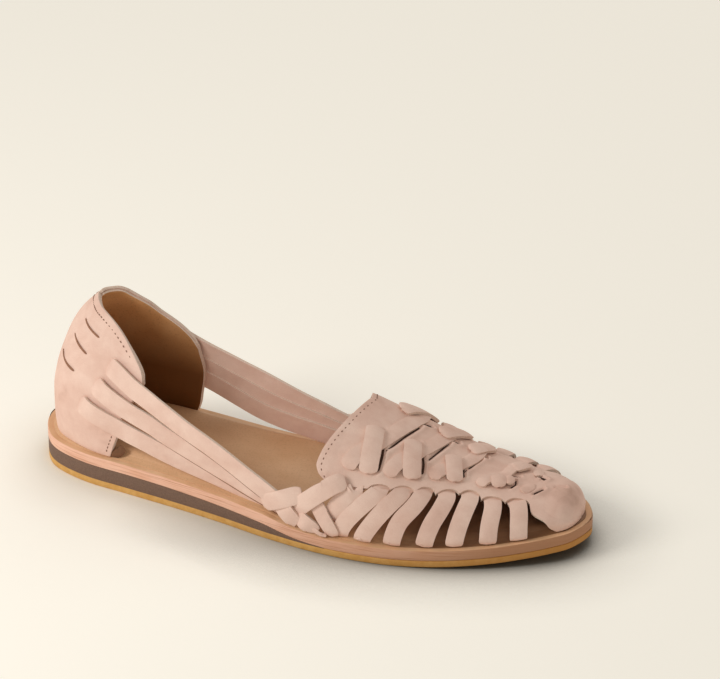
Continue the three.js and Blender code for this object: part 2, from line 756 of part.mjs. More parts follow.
// The one body without the specks of air that crossing strips shut in.
function largestOf(body) {
  return body.decompose().reduce((largest, next) => (next.volume() > largest.volume() ? next : largest));
}

function upperBody() {
  const added = [
    vampPanel(), counterPanel(), lastingMargin(), ...weaveBodies(),
    ...[-1, 1].flatMap((side) => [...sideStripBodies(side), ...strapBodies(side), ...knotBodies(side)]),
  ];
  return largestOf(joined(added).subtract(joined(slitBodies())));
}

function insoleBody() {
  const clear = rimWidth + counterWall + 2 * layerGap;
  const top = (x) => insoleBottom(x) + insoleThickness;
  const middle = (x) => insoleBottom(x) + insoleThickness / 2;
  const filler = soleLayer(rimWidth + marginWidth + layerGap, lastBottom, middle, 1);
  return soleLayer(clear, insoleBottom, top, 1).add(filler);
}

// Materials
const materials = {
  gum: { color: 0xd09a50, roughness: 0.8, metalness: 0 },
  darkRubber: { color: 0x5e463a, roughness: 0.75, metalness: 0 },
  soleLeather: { color: 0xdda585, roughness: 0.6, metalness: 0 },
  footbedLeather: { color: 0xb08a68, roughness: 0.55, metalness: 0 },
  nubuck: { color: 0xdcb9a8, roughness: 0.95, metalness: 0 },
};

function mesh(name, body, material) {
  const { vertProperties, triVerts } = body.getMesh();
  const geometry = new THREE.BufferGeometry();
  geometry.setAttribute("position", new THREE.BufferAttribute(vertProperties, 3));
  geometry.setIndex(new THREE.BufferAttribute(triVerts, 1));
  const result = new THREE.Mesh(geometry, new THREE.MeshStandardMaterial(materials[material]));
  result.name = name;
  return result;
}

const sandal = new THREE.Group();
sandal.position.x = -heelCentre;
const wedgeRoof = (x) => Math.max(wedgeTop(x), gumTop(x) + layerGap);
sandal.add(
  mesh("outsole", soleLayer(0, floorLift, gumTop, 1), "gum"),
  mesh("heel_wedge", soleLayer(0, (x) => gumTop(x) + layerGap, wedgeRoof, wedgeEnd), "darkRubber"),
  mesh("midsole", soleLayer(0, midsoleBottom, midsoleTop, 1), "soleLeather"),
  mesh("insole", insoleBody(), "footbedLeather"),
  mesh("upper", upperBody(), "nubuck"),
);

export default sandal;
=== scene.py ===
# Woven leather sandal for the right foot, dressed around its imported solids.
# Lengths are millimetres from the heel's back: X to the toe, Y to the medial side, Z up from the floor.
# A point becomes metres in the frame only when it is placed.
import bisect
import functools
import math
import random

import bmesh
import bpy
from mathutils import Matrix, Vector, noise


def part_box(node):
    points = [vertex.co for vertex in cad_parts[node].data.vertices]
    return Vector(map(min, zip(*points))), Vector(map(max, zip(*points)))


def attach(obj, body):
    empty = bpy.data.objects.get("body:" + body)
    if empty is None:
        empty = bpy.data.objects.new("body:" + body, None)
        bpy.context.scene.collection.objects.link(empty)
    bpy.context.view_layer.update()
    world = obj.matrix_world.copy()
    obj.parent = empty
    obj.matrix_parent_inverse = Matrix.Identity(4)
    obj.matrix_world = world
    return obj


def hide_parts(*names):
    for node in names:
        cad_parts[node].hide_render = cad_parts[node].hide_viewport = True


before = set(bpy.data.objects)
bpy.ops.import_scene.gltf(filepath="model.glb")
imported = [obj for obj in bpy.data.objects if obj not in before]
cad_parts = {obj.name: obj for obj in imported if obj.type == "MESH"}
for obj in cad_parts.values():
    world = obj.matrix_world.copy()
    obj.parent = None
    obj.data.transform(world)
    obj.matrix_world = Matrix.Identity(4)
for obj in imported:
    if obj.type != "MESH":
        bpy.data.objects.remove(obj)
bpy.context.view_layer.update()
MM = 0.001

# Driving sizes, the lengths of the sole from the frame
sole_low, sole_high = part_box("outsole")
SHOE_LENGTH = (sole_high.x - sole_low.x) / MM
HEEL_BACK = sole_low.x / MM
BALL_WIDTH = 84
TOE_SPRING = 6
GUM_THICKNESS = 3.1
WEDGE_HEIGHT = 6.3
MIDSOLE_THICKNESS = 4.7
INSOLE_THICKNESS = 1.8
LAYER_GAP = 0.3
RIM_WIDTH = 4.2
INSTEP_HEIGHT = 43.6
INSTEP_OFFSET = 8.5
SIDE_BULGE = 1.5
TOE_CURL = 13
NOSE_STEP = 0.1
UPPER_WALL = 1.6
COUNTER_SKIN = 1.4
LINING_SKIN = 1.1
MARGIN_WALL = 1.3
SEAT = 0.4
COUNTER_HEIGHT = 64.5
COUNTER_LEAN = 19.5
THROAT_FADE = 26
THROAT_ALONG = 0.592
STRIP_THICKNESS = 1.5
SIDE_STRIP_WIDTH = 7.7
STRAP_WIDTH = 8.8
FOOT_FLARE = 1.9
CAP_FLARE = 1.7
WEDGE_END = 0.54
SPRING_START = 0.70
SPRING_POWER = 1.6
HEEL_FADE_FROM = 0.078
HEEL_FADE_OVER = 0.31
VAMP_END_GAP = 0.9
COUNTER_FLARE = 2.1
SLIT_WIDTH = 1.0
SHADE_WIDTH = 0.9
SHADE_DROP = 0.55
SHADE_LIFT = 0.75
COLLAR_STITCH_INSET = 2.3
THROAT_STITCH_INSET = 2.2
CORNER_STITCH_INSET = 2.4
STITCH_SINK = 0.05
FLOOR_GLOW = 0.27
SIDES = ((-1, "lateral"), (1, "medial"))

# Half widths of the sole: along, lateral, medial, as shares of the length and of the ball width.
SOLE_OUTLINE = [
    (0.000, 0.000, 0.000), (0.016, 0.161, 0.173), (0.050, 0.277, 0.283), (0.116, 0.355, 0.333),
    (0.194, 0.390, 0.333), (0.290, 0.431, 0.310), (0.388, 0.482, 0.289), (0.484, 0.543, 0.304),
    (0.581, 0.579, 0.351), (0.678, 0.569, 0.412), (0.775, 0.507, 0.436), (0.853, 0.417, 0.395),
    (0.911, 0.321, 0.333), (0.957, 0.225, 0.230), (0.984, 0.143, 0.133), (1.000, 0.000, 0.000),
]

# Wedge: along, share of its height.
WEDGE_PROFILE = [
    (0.00, 1.00), (0.20, 1.00), (0.35, 0.84), (0.43, 0.67), (0.47, 0.56),
    (0.51, 0.27), (0.54, 0.09), (0.58, 0.00), (1.00, 0.00),
]

# The last over the forefoot: along, ridge height, ridge offset, fullness of the side and of the top.
LAST_SECTIONS = [
    (0.440, 1.014, 0.94, 0.62, 0.62), (0.520, 1.000, 1.00, 0.62, 0.60), (0.580, 0.945, 1.00, 0.62, 0.58),
    (0.640, 0.830, 0.94, 0.60, 0.56), (0.700, 0.688, 0.82, 0.60, 0.55), (0.760, 0.541, 0.65, 0.60, 0.55),
    (0.820, 0.431, 0.47, 0.62, 0.56), (0.880, 0.362, 0.29, 0.64, 0.58), (0.940, 0.317, 0.12, 0.68, 0.60),
    (1.000, 0.287, 0.00, 0.72, 0.62),
]

# The heel's wall: height, lean to the front, narrowing.
HEEL_SECTIONS = [
    (0.00, 0.00, 1.00), (0.15, -0.03, 1.03), (0.31, -0.02, 1.01), (0.47, 0.07, 0.95),
    (0.62, 0.23, 0.86), (0.78, 0.44, 0.74), (0.90, 0.69, 0.62), (1.02, 1.08, 0.50),
    (1.12, 1.42, 0.42),
]

# Collar of the counter by side: along, height.
COLLAR = {
    -1: [(0.000, 1.045), (0.018, 1.026), (0.038, 1.000), (0.068, 0.966), (0.114, 0.904), (0.160, 0.820),
         (0.192, 0.738), (0.208, 0.676), (0.215, 0.610)],
    1: [(0.000, 1.045), (0.018, 1.042), (0.040, 1.027), (0.075, 0.969), (0.121, 0.888), (0.153, 0.815),
        (0.190, 0.735), (0.216, 0.668), (0.233, 0.612), (0.246, 0.545)],
}

# Front edge of the counter by side: height, along.
COUNTER_FRONT = {
    -1: [(0.000, 0.164), (0.170, 0.178), (0.312, 0.188), (0.464, 0.203), (0.610, 0.215)],
    1: [(0.000, 0.240), (0.130, 0.252), (0.350, 0.260), (0.545, 0.246)],
}

# How far the throat's edge comes back: share of the way from the ridge to the sole, lateral, medial.
THROAT_EDGE = [
    (0.000, 0.0, 0.0), (0.250, 4.3, 2.5), (0.500, 8.8, 5.0), (0.580, 9.4, 5.6), (0.630, 7.8, 4.8),
    (0.655, 5.4, 3.2), (0.675, 2.4, 1.4), (0.700, 0.0, 0.0),
]

# Edge of the vamp at each side before its arches and from them to the toe cap: along, share of the way
# from the ridge to the sole.
VAMP_EDGE_BACK = [(0.560, 0.690), (0.600, 0.668), (0.614, 0.659)]
VAMP_EDGE_FRONT = [
    (0.909, 0.439), (0.916, 0.564), (0.935, 0.726), (0.949, 0.923), (0.962, 1.000), (1.000, 1.000),
]

# Cusps of that edge between the side strips, and the top of the arch over each strip: along, share.
CUSPS = [
    (0.614, 0.659), (0.651, 0.611), (0.687, 0.567), (0.724, 0.521), (0.757, 0.481), (0.792, 0.417),
    (0.829, 0.418), (0.868, 0.413), (0.909, 0.439),
]
ARCH_TOPS = [
    (0.628, 0.627), (0.669, 0.549), (0.706, 0.491), (0.737, 0.433), (0.770, 0.384), (0.807, 0.331),
    (0.845, 0.347), (0.882, 0.325),
]

# Side strips, the same on both sides, from the arch down to the sole: along, share.
SIDE_STRIPS = [
    [(0.633, 0.652), (0.621, 0.699), (0.608, 0.781), (0.599, 0.851), (0.594, 0.905)],
    [(0.670, 0.597), (0.651, 0.723), (0.626, 0.869), (0.616, 0.950), (0.614, 1.000)],
    [(0.705, 0.559), (0.689, 0.698), (0.672, 0.829), (0.657, 0.945), (0.654, 1.000)],
    [(0.738, 0.501), (0.730, 0.642), (0.714, 0.785), (0.706, 0.930), (0.704, 1.000)],
    [(0.776, 0.461), (0.773, 0.616), (0.766, 0.750), (0.760, 0.900), (0.757, 1.000)],
    [(0.812, 0.424), (0.812, 0.550), (0.809, 0.731), (0.806, 0.890), (0.805, 1.000)],
    [(0.850, 0.427), (0.855, 0.558), (0.856, 0.764), (0.856, 0.900), (0.855, 1.000)],
    [(0.889, 0.397), (0.898, 0.600), (0.901, 0.800), (0.901, 0.925), (0.901, 1.000)],
]

# The weave over the vamp by row: the band's line and width, the loops' lines and width. Points are x and
# the arc from the ridge, lateral arcs negative.
WEAVE_ROWS = [
    ([(156.4, -43.4), (157.7, -39.0), (161.0, -32.0), (165.3, -24.0), (168.8, -15.0), (171.0, -8.0),
      (173.0, -1.0), (174.2, 5.0), (172.6, 12.0), (168.4, 19.0), (165.6, 25.0)], 7.4,
     [[(161.0, -17.2), (163.6, -29.4), (165.9, -41.0)], [(166.0, 1.0), (171.0, 10.5), (175.6, 21.0)]], 8.4),
    ([(173.6, -37.0), (174.8, -32.0), (177.6, -25.0), (181.4, -17.0), (184.9, -8.0), (187.0, 0.0),
      (188.0, 5.0), (186.6, 11.0), (183.4, 17.0), (181.0, 22.0)], 6.9,
     [[(177.0, -12.8), (180.3, -23.0), (183.8, -32.2)], [(185.0, 1.0), (189.4, 9.0), (192.8, 17.6)]], 8.2),
    ([(190.8, -26.0), (192.0, -22.0), (194.8, -17.0), (198.0, -11.5), (200.6, -6.0), (202.4, 0.0),
      (203.0, 4.0), (201.8, 9.0), (199.2, 14.0)], 6.2,
     [[(194.0, -7.6), (197.2, -14.5), (200.6, -21.6)], [(199.2, 1.4), (203.0, 7.4), (205.8, 14.0)]], 7.4),
    ([(210.2, -17.0), (211.6, -13.6), (214.4, -9.0), (217.6, -4.0), (219.0, 0.0), (219.6, 3.0),
      (218.4, 8.0)], 5.2,
     [[(215.8, -6.9), (217.4, -10.3), (218.9, -13.9)], [(219.6, 1.4), (222.4, 5.2), (224.6, 9.4)]], 6.6),
]

# Cuts in the vamp, each a trough with a dark strip of painted shade laid in it: their line as x and arc,
# width, taper at the two ends.
VAMP_CUTS = [
    ([(165.2, -16.2), (167.6, -24.0), (168.9, -30.0), (169.4, -36.8)], 1.9, (0.35, 1.0)),
    ([(169.3, -26.0), (171.4, -20.0), (173.2, -14.0), (175.0, -8.0), (176.6, -1.0)], 0.9, (1.0, 0.9)),
    ([(175.7, 0.4), (178.2, 2.2), (180.0, 3.2)], 2.0, (0.8, 1.0)),
    ([(180.6, -11.9), (183.6, -17.0), (185.6, -21.5), (186.7, -26.0)], 1.6, (0.35, 1.0)),
    ([(186.2, -18.6), (187.6, -13.0), (188.8, -8.0), (190.2, 0.2)], 0.85, (1.0, 0.9)),
    ([(189.4, 1.7), (191.2, 2.7), (193.0, 3.5)], 1.8, (0.8, 1.0)),
    ([(198.2, -6.9), (201.1, -11.0), (202.6, -15.6)], 1.2, (0.4, 1.0)),
    ([(202.3, -12.0), (203.6, -6.0), (205.4, 0.7)], 0.8, (1.0, 0.9)),
    ([(204.2, 2.4), (205.4, 3.0), (206.6, 3.2)], 1.5, (0.8, 1.0)),
    ([(223.7, -4.7), (224.4, -7.4), (223.4, -10.2)], 0.8, (0.8, 0.8)),
    ([(218.4, -4.6), (221.4, -2.2), (224.6, -1.0)], 0.6, (0.8, 0.8)),
    ([(233.9, -9.4), (235.5, -7.0), (236.8, -4.8)], 1.3, (1.0, 0.5)),
    ([(231.2, 3.5), (233.2, 3.7), (235.2, 3.1)], 1.5, (0.7, 1.0)),
    ([(241.4, -0.6), (243.2, 0.0), (245.0, 0.3)], 1.2, (1.0, 0.8)),
]

# Low bumps where the weave ends behind the toe cap: their line as x and arc, width, lift.
TOE_BUMPS = [
    ([(220.8, -5.0), (221.6, -7.6), (222.4, -10.2)], 4.4, 0.3),
    ([(229.0, -10.6), (230.4, -7.2), (231.8, -3.9)], 5.2, -1.2),
    ([(229.0, 10.6), (230.4, 7.2), (231.8, 3.9)], 5.2, -1.2),
]

# Straps from the counter to the waist by side: along, height over the footbed, lift off the wall.
STRAPS = {
    -1: [
        [(0.136, 0.668, -0.6), (0.160, 0.638, 0.9), (0.213, 0.557, 1.0), (0.260, 0.490, 0.8),
         (0.326, 0.390, 0.8), (0.383, 0.306, 0.9), (0.465, 0.183, 1.2), (0.505, 0.125, 0.6)],
        [(0.123, 0.520, -0.6), (0.145, 0.482, 0.9), (0.190, 0.413, 0.8), (0.245, 0.345, 0.3),
         (0.286, 0.286, -0.1), (0.383, 0.170, -0.6), (0.465, 0.105, -0.7), (0.500, 0.085, -0.9)],
        [(0.103, 0.358, -0.6), (0.123, 0.325, 0.9), (0.181, 0.252, 0.4), (0.223, 0.206, 0.0),
         (0.285, 0.146, -0.7), (0.383, 0.088, -1.7), (0.465, 0.066, -2.1), (0.495, 0.062, -2.3)],
    ],
    1: [
        [(0.160, 0.640, -0.6), (0.182, 0.612, 0.9), (0.225, 0.545, 1.0), (0.260, 0.500, 0.8),
         (0.320, 0.435, 0.8), (0.384, 0.368, 0.9), (0.465, 0.262, 1.0), (0.518, 0.208, 0.8),
         (0.545, 0.180, 0.4)],
        [(0.147, 0.490, -0.6), (0.170, 0.462, 0.9), (0.215, 0.412, 0.8), (0.260, 0.378, 0.3),
         (0.320, 0.312, 0.2), (0.384, 0.244, 0.1), (0.465, 0.166, 0.1), (0.520, 0.130, -0.2)],
        [(0.130, 0.345, -0.6), (0.152, 0.322, 0.9), (0.205, 0.296, 0.4), (0.260, 0.276, -0.2),
         (0.320, 0.205, -0.5), (0.384, 0.140, -0.8), (0.465, 0.095, -1.1), (0.510, 0.082, -1.2)],
    ],
}

# Braided ends at the waist: along, share of the way down to the sole, lift; and the width of each.
KNOTS = [
    ([(0.613, 0.622, 0.4), (0.597, 0.668, 1.9), (0.574, 0.750, 2.4), (0.549, 0.840, 1.9),
      (0.533, 0.905, 0.2)], 8.4),
    ([(0.470, 0.955, 0.2), (0.492, 0.905, 2.2), (0.518, 0.845, 2.7), (0.545, 0.785, 0.8)], 8.4),
    ([(0.500, 0.885, 0.4), (0.520, 0.925, 2.3), (0.540, 0.975, 1.4)], 8.4),
    ([(0.536, 0.925, 0.3), (0.556, 0.945, 2.4), (0.577, 0.985, 1.2)], 7.6),
    ([(0.566, 0.805, -0.2), (0.578, 0.850, 1.0), (0.591, 0.905, 1.4), (0.600, 0.955, 1.0),
      (0.603, 0.995, 0.2)], 6.6),
    ([(0.566, 0.962, 1.6), (0.580, 0.982, 1.9), (0.594, 0.999, 1.7)], 2.6),
]

# Short slits in the counter, each a dark strip of painted shade on the wall: along and height where each
# starts, along and height where it ends.
COUNTER_SLITS = [
    (0.042, 0.887, 0.090, 0.811), (0.041, 0.770, 0.083, 0.683), (0.029, 0.604, 0.072, 0.540),
]

# The curl at the counter's lateral front corner: along, height over the footbed, lift off the wall.
COUNTER_CORNER = [(0.158, 0.030, 0.4), (0.170, 0.025, 0.2), (0.181, 0.050, -0.9), (0.186, 0.090, -2.2)]


# Helpers of number and curve

def clamp(value, low=0.0, high=1.0):
    return min(max(value, low), high)


def mix(a, b, t):
    return a + (b - a) * t


def smooth(value):
    t = clamp(value)
    return t * t * (3 - 2 * t)


def follow(rows, column=1):
    """A smooth curve through one column of a table, with no overshoot between its rows."""
    xs = [row[0] for row in rows]
    ys = [row[column] for row in rows]
    slopes = [(ys[i + 1] - ys[i]) / (xs[i + 1] - xs[i]) for i in range(len(xs) - 1)]
    tangents = [slopes[0]]
    for before, after in zip(slopes, slopes[1:]):
        tangents.append(0 if before * after <= 0 else 2 * before * after / (before + after))
    tangents.append(slopes[-1])

    def value(at):
        place = clamp(at, xs[0], xs[-1])
        i = min(max(bisect.bisect_left(xs, place) - 1, 0), len(xs) - 2)
        span = xs[i + 1] - xs[i]
        t = (place - xs[i]) / span
        lead = (1 + 2 * t) * (1 - t) ** 2 * ys[i] + t * (1 - t) ** 2 * span * tangents[i]
        return lead + t * t * (3 - 2 * t) * ys[i + 1] + t * t * (t - 1) * span * tangents[i + 1]

    return value


def spline(p0, p1, p2, p3, t):
    return 0.5 * (2 * p1 + (p2 - p0) * t + (2 * p0 - 5 * p1 + 4 * p2 - p3) * t * t
                  + (3 * p1 - p0 - 3 * p2 + p3) * t ** 3)


def smooth_path(points):
    """A curve through a list of points, run from 0 to 1."""
    first = 2 * points[0] - points[1]
    last = 2 * points[-1] - points[-2]
    run = [first, *points, last]
    spans = len(points) - 1

    def point(t):
        i = min(int(clamp(t) * spans), spans - 1)
        return spline(*run[i:i + 4], clamp(t) * spans - i)

    return point


# The sole's outline and levels

OUTLINE = [Vector((along * SHOE_LENGTH, -lateral * BALL_WIDTH, 0)) for along, lateral, _ in SOLE_OUTLINE]
for along, _, medial in SOLE_OUTLINE[-2:0:-1]:
    OUTLINE.append(Vector((along * SHOE_LENGTH, medial * BALL_WIDTH, 0)))


def outline_at(place):
    """The sole's outline as a closed curve, run once round as place goes from 0 to 1."""
    count = len(OUTLINE)
    at = (place % 1) * count
    i = int(at)
    run = [OUTLINE[(i + step) % count] for step in (-1, 0, 1, 2)]
    return spline(*run, at - i)


def outline_point(share, side, inset):
    """A point of the sole's outline, moved in. Share 0 is the heel's back and 1 the toe's tip."""
    place = share / 2 if side < 0 else 1 - share / 2
    step = 0.001
    point = outline_at(place)
    tangent = (outline_at(place + step) - outline_at(place - step)).normalized()
    return Vector((point.x - tangent.y * inset, point.y + tangent.x * inset, 0))


wedge_share = follow(WEDGE_PROFILE)


def floor_lift(x):
    rise = clamp((x / SHOE_LENGTH - SPRING_START) / (1 - SPRING_START))
    return TOE_SPRING * rise ** SPRING_POWER


def gum_top(x):
    return floor_lift(x) + GUM_THICKNESS


def wedge_top(x):
    return gum_top(x) + LAYER_GAP + WEDGE_HEIGHT * wedge_share(x / SHOE_LENGTH)


def midsole_bottom(x):
    return wedge_top(x) + (LAYER_GAP if wedge_share(x / SHOE_LENGTH) > 0 else 0)


def midsole_top(x):
    return midsole_bottom(x) + MIDSOLE_THICKNESS


def last_bottom(x):
    return midsole_top(x) + LAYER_GAP


def insole_bottom(x):
    return last_bottom(x) + MARGIN_WALL + LAYER_GAP


# The last

TIP_X = SHOE_LENGTH - RIM_WIDTH
FEATHER_SAMPLES = 400
ridge_height, ridge_offset, side_fullness, top_fullness = (follow(LAST_SECTIONS, i) for i in (1, 2, 3, 4))
heel_lean, heel_narrow = (follow(HEEL_SECTIONS, i) for i in (1, 2))
FEATHER = {}
FEATHER_REACH = {}
for edge_side in (-1, 1):
    line = [outline_point(i / FEATHER_SAMPLES, edge_side, RIM_WIDTH) for i in range(FEATHER_SAMPLES + 1)]
    reach = []
    for sample in line[1:]:
        reach.append(max(sample.x, reach[-1] if reach else sample.x))
    FEATHER[edge_side] = line
    FEATHER_REACH[edge_side] = reach


def feather_place(x, side):
    line = FEATHER[side]
    i = min(bisect.bisect_left(FEATHER_REACH[side], x), len(line) - 2)
    return i, clamp((x - line[i].x) / (line[i + 1].x - line[i].x))


def feather_at(x, side):
    i, t = feather_place(x, side)
    return mix(FEATHER[side][i].y, FEATHER[side][i + 1].y, t)


def feather_share(x, side):
    i, t = feather_place(x, side)
    return (i + t) / FEATHER_SAMPLES


throat_setback = {side: follow(THROAT_EDGE, column) for side, column in ((-1, 1), (1, 2))}


def throat_at(base, share):
    """The x of a line across the vamp that leaves the ridge at base, drawn back near the throat."""
    fade = clamp(1 - (base - THROAT_ALONG * SHOE_LENGTH) / THROAT_FADE)
    return base - throat_setback[-1 if share < 0 else 1](abs(share)) * fade


def vamp_point(x, share):
    """The forefoot of the last: share runs from -1 at the lateral edge over the ridge to 1."""
    along = x / SHOE_LENGTH
    side = -1 if share < 0 else 1
    up = 1 - abs(share)
    edge = feather_at(x, side)
    curl = clamp((x - (TIP_X - TOE_CURL)) / TOE_CURL)
    height = INSTEP_HEIGHT * ridge_height(along) * math.sqrt(1 - curl * curl)
    ridge = INSTEP_OFFSET * ridge_offset(along)
    w0, w1, w2, w3 = (1 - up) ** 3, 3 * up * (1 - up) ** 2, 3 * up * up * (1 - up), up ** 3
    shoulder = ridge + (edge - ridge) * top_fullness(along)
    y = edge * w0 + (edge + side * SIDE_BULGE) * w1 + shoulder * w2 + ridge * w3
    z = height * (side_fullness(along) * w1 + w2 + w3)
    return Vector((x, y, last_bottom(x) + z))


def wall_point(share, height, side):
    """The heel and waist of the last: share of the outline and height over its bottom."""
    foot = outline_point(share, side, RIM_WIDTH)
    fade = 1 - smooth((foot.x / SHOE_LENGTH - HEEL_FADE_FROM) / HEEL_FADE_OVER)
    level = height / COUNTER_HEIGHT
    x = foot.x + COUNTER_LEAN * heel_lean(level) * fade
    y = foot.y * (1 + (heel_narrow(level) - 1) * fade)
    return Vector((x, y, last_bottom(foot.x) + height))


def lifted(surface, u, v, lift, step_u, step_v, outward):
    """A point lifted off a surface along its outward normal, and kept over the sole's top."""
    along_u = surface(u + step_u, v) - surface(u - step_u, v)
    along_v = surface(u, v + step_v) - surface(u, v - step_v)
    point = surface(u, v) + along_u.cross(along_v).normalized() * outward * lift
    point.z = max(point.z, last_bottom(point.x) + SEAT)
    return point


def vamp_skin(x, share, lift):
    return lifted(vamp_point, min(x, TIP_X - VAMP_END_GAP), clamp(share, -0.999, 0.999), lift, 0.4, 0.001, 1)


def wall_skin(side):
    def skin(share, height, lift):
        return lifted(lambda u, v: wall_point(u, v, side), share, height, lift, 0.002, 0.5, -side)

    return skin


GIRTH_STEPS = 30


@functools.lru_cache(maxsize=None)
def girth_steps(x, side):
    """Arc lengths from the ridge to the sole at x, one for each step of the share."""
    lengths = [0.0]
    before = vamp_point(x, 0)
    for i in range(1, GIRTH_STEPS + 1):
        after = vamp_point(x, side * i / GIRTH_STEPS)
        lengths.append(lengths[-1] + (after - before).length)
        before = after
    return lengths


def arc_at(x, share):
    """The arc from the ridge to a share of the way to the sole, at x to the nearest half millimetre."""
    side = -1 if share < 0 else 1
    lengths = girth_steps(round(x * 2) / 2, side)
    at = abs(share) * GIRTH_STEPS
    i = min(int(at), GIRTH_STEPS - 1)
    return side * mix(lengths[i], lengths[i + 1], at - i)


def share_at_arc(x, arc):
    """The share of the way from the ridge to the sole at an arc from the ridge, at x."""
    side = -1 if arc < 0 else 1
    lengths = girth_steps(x, side)
    i = min(bisect.bisect_left(lengths, abs(arc)), GIRTH_STEPS)
    if i == 0:
        return 0.0
    return side * (i - 1 + clamp((abs(arc) - lengths[i - 1]) / (lengths[i] - lengths[i - 1]))) / GIRTH_STEPS


def on_wall(side, along, height):
    """A place on the heel's wall, as share and height in millimetres."""
    return feather_share(along * SHOE_LENGTH, side), height * COUNTER_HEIGHT


def on_vamp(line, lift):
    """Places on the vamp at one lift, from a line of x and arc."""
    return [(x, share_at_arc(x, arc), lift) for x, arc in line]


def placed(point):
    """Millimetres from the heel's back to metres in the frame."""
    return Vector((point.x + HEEL_BACK, point.y, point.z)) * MM


# Materials

def linear(colour):
    """A hex sRGB colour as linear RGBA."""
    parts = [int(colour[i:i + 2], 16) / 255 for i in (1, 3, 5)]
    return [p / 12.92 if p <= 0.04045 else ((p + 0.055) / 1.055) ** 2.4 for p in parts] + [1.0]


def add_node(material, kind, settings=None, **links):
    """One shader node with its settings by name and its inputs, each a value or another node's output."""
    nodes = material.node_tree.nodes
    node = nodes.new(kind)
    for name, value in (settings or {}).items():
        setattr(node, name, value)
    for name, value in links.items():
        socket = node.inputs[int(name[1:])] if name[0] == "i" and name[1:].isdigit() else node.inputs[name]
        if isinstance(value, bpy.types.NodeSocket):
            material.node_tree.links.new(value, socket)
        else:
            socket.default_value = value
    return node


def new_material(name):
    material = bpy.data.materials.new(name)
    material.use_nodes = True
    material.node_tree.nodes.clear()
    return material


def finish_material(material, colour, roughness, normal=None, **fixed):
    """Gives a material its shader and output, with further inputs by the socket's name."""
    inputs = {"Base Color": colour, "Roughness": roughness, **fixed}
    if normal is not None:
        inputs["Normal"] = normal
    shader = add_node(material, "ShaderNodeBsdfPrincipled", None, **inputs)
    add_node(material, "ShaderNodeOutputMaterial", None, Surface=shader.outputs[0])
    return material


def object_noise(material, size, detail=2.0, roughness=0.5, stretch=(1, 1, 1), distortion=0.0):
    """Noise on Object coordinates, its size in millimetres, stretched along the axes."""
    place = add_node(material, "ShaderNodeTexCoord")
    turned = add_node(material, "ShaderNodeMapping", None, Vector=place.outputs["Object"],
                      Scale=[1 / s for s in stretch])
    pattern = add_node(material, "ShaderNodeTexNoise", None, Vector=turned.outputs[0], Scale=1 / (size * MM),
                       Detail=detail, Roughness=roughness, Distortion=distortion)
    return pattern.outputs["Fac"]


def remap(material, value, low, high, to_low=0.0, to_high=1.0):
    node = add_node(material, "ShaderNodeMapRange", {"clamp": True}, Value=value)
    for name, number in (("From Min", low), ("From Max", high), ("To Min", to_low), ("To Max", to_high)):
        node.inputs[name].default_value = number
    return node.outputs[0]


def blend_colours(material, factor, a, b):
    return add_node(material, "ShaderNodeMix", {"data_type": "RGBA"}, i0=factor, i6=a, i7=b).outputs[2]


def two_toned(material, pattern, first, second, low=0.3, high=0.7):
    """Two colours given in hex, blended over the middle of a pattern."""
    return blend_colours(material, remap(material, pattern, low, high), linear(first), linear(second))


def object_axis(material, axis):
    """One of the Object coordinates, in metres."""
    place = add_node(material, "ShaderNodeTexCoord")
    return add_node(material, "ShaderNodeSeparateXYZ", None, Vector=place.outputs["Object"]).outputs[axis]


def reckon(material, operation, a, b):
    return add_node(material, "ShaderNodeMath", {"operation": operation}, i0=a, i1=b).outputs[0]


def bumped(material, height, strength, depth):
    node = add_node(material, "ShaderNodeBump", None, Height=height, Strength=strength, Distance=depth * MM)
    return node.outputs[0]


def nubuck_material(name, light, middle, shade):
    """Cow nubuck, sanded on the grain side: matte and soft, with a nap that strokes lighter and darker."""
    material = new_material(name)
    strokes = object_noise(material, 17, 3.0, 0.55, (1.5, 1, 1), 0.6)
    mottle = object_noise(material, 4.5, 4.0, 0.6)
    grain = object_noise(material, 0.55, 2.0, 0.7)
    # The darkening read here is partly random tone of each piece and partly painted shade: on the vamp's
    # ridge, towards its toe, and at the strips' ends. It also darkens the counter towards the bottom.
    tone_and_painted_shade = add_node(material, "ShaderNodeAttribute", {"attribute_name": "tone_and_painted_shade"}).outputs["Fac"]
    broad = remap(material, strokes, 0.34, 0.68, 0.0, 0.62)
    small = remap(material, mottle, 0.3, 0.75, -0.12, 0.22)
    amount = reckon(material, "ADD", reckon(material, "ADD", broad, small), tone_and_painted_shade)
    soft = blend_colours(material, remap(material, amount, 0.0, 0.75), linear(light), linear(middle))
    deep = blend_colours(material, remap(material, amount, 0.75, 1.5), soft, linear(shade))
    speckled = blend_colours(material, remap(material, grain, 0.35, 0.7, 0.0, 0.10), deep, linear(shade))
    pile = reckon(material, "ADD", grain, reckon(material, "MULTIPLY", mottle, 2.2))
    normal = bumped(material, pile, 0.35, 0.25)
    return finish_material(material, speckled, 0.95, normal, **{
        "Sheen Weight": 0.12, "Sheen Roughness": 0.45, "Sheen Tint": linear("#ffe6d8"),
        "Specular IOR Level": 0.12,
    })


def cut_edge_material():
    """The raw cut edge of the hide: paler than the nap, greyish and fibrous."""
    material = new_material("raw_cut_hide")
    fibres = object_noise(material, 0.6, 4.0, 0.7)
    colour = two_toned(material, fibres, "#d8bead", "#f2ddcf")
    normal = bumped(material, fibres, 0.6, 0.3)
    return finish_material(material, colour, 0.97, normal, **{"Sheen Weight": 0.2})


def flesh_side_material():
    """The flesh side of the vamp, dyed through: brown and dull, and darker still as painted shade for the
    shadowed inside of the shoe.
    """
    material = new_material("flesh_side_hide")
    fibres = object_noise(material, 2.2, 4.0, 0.7)
    colour = two_toned(material, fibres, "#6b4a34", "#80593f")
    return finish_material(material, colour, 0.95, bumped(material, fibres, 0.4, 0.3))


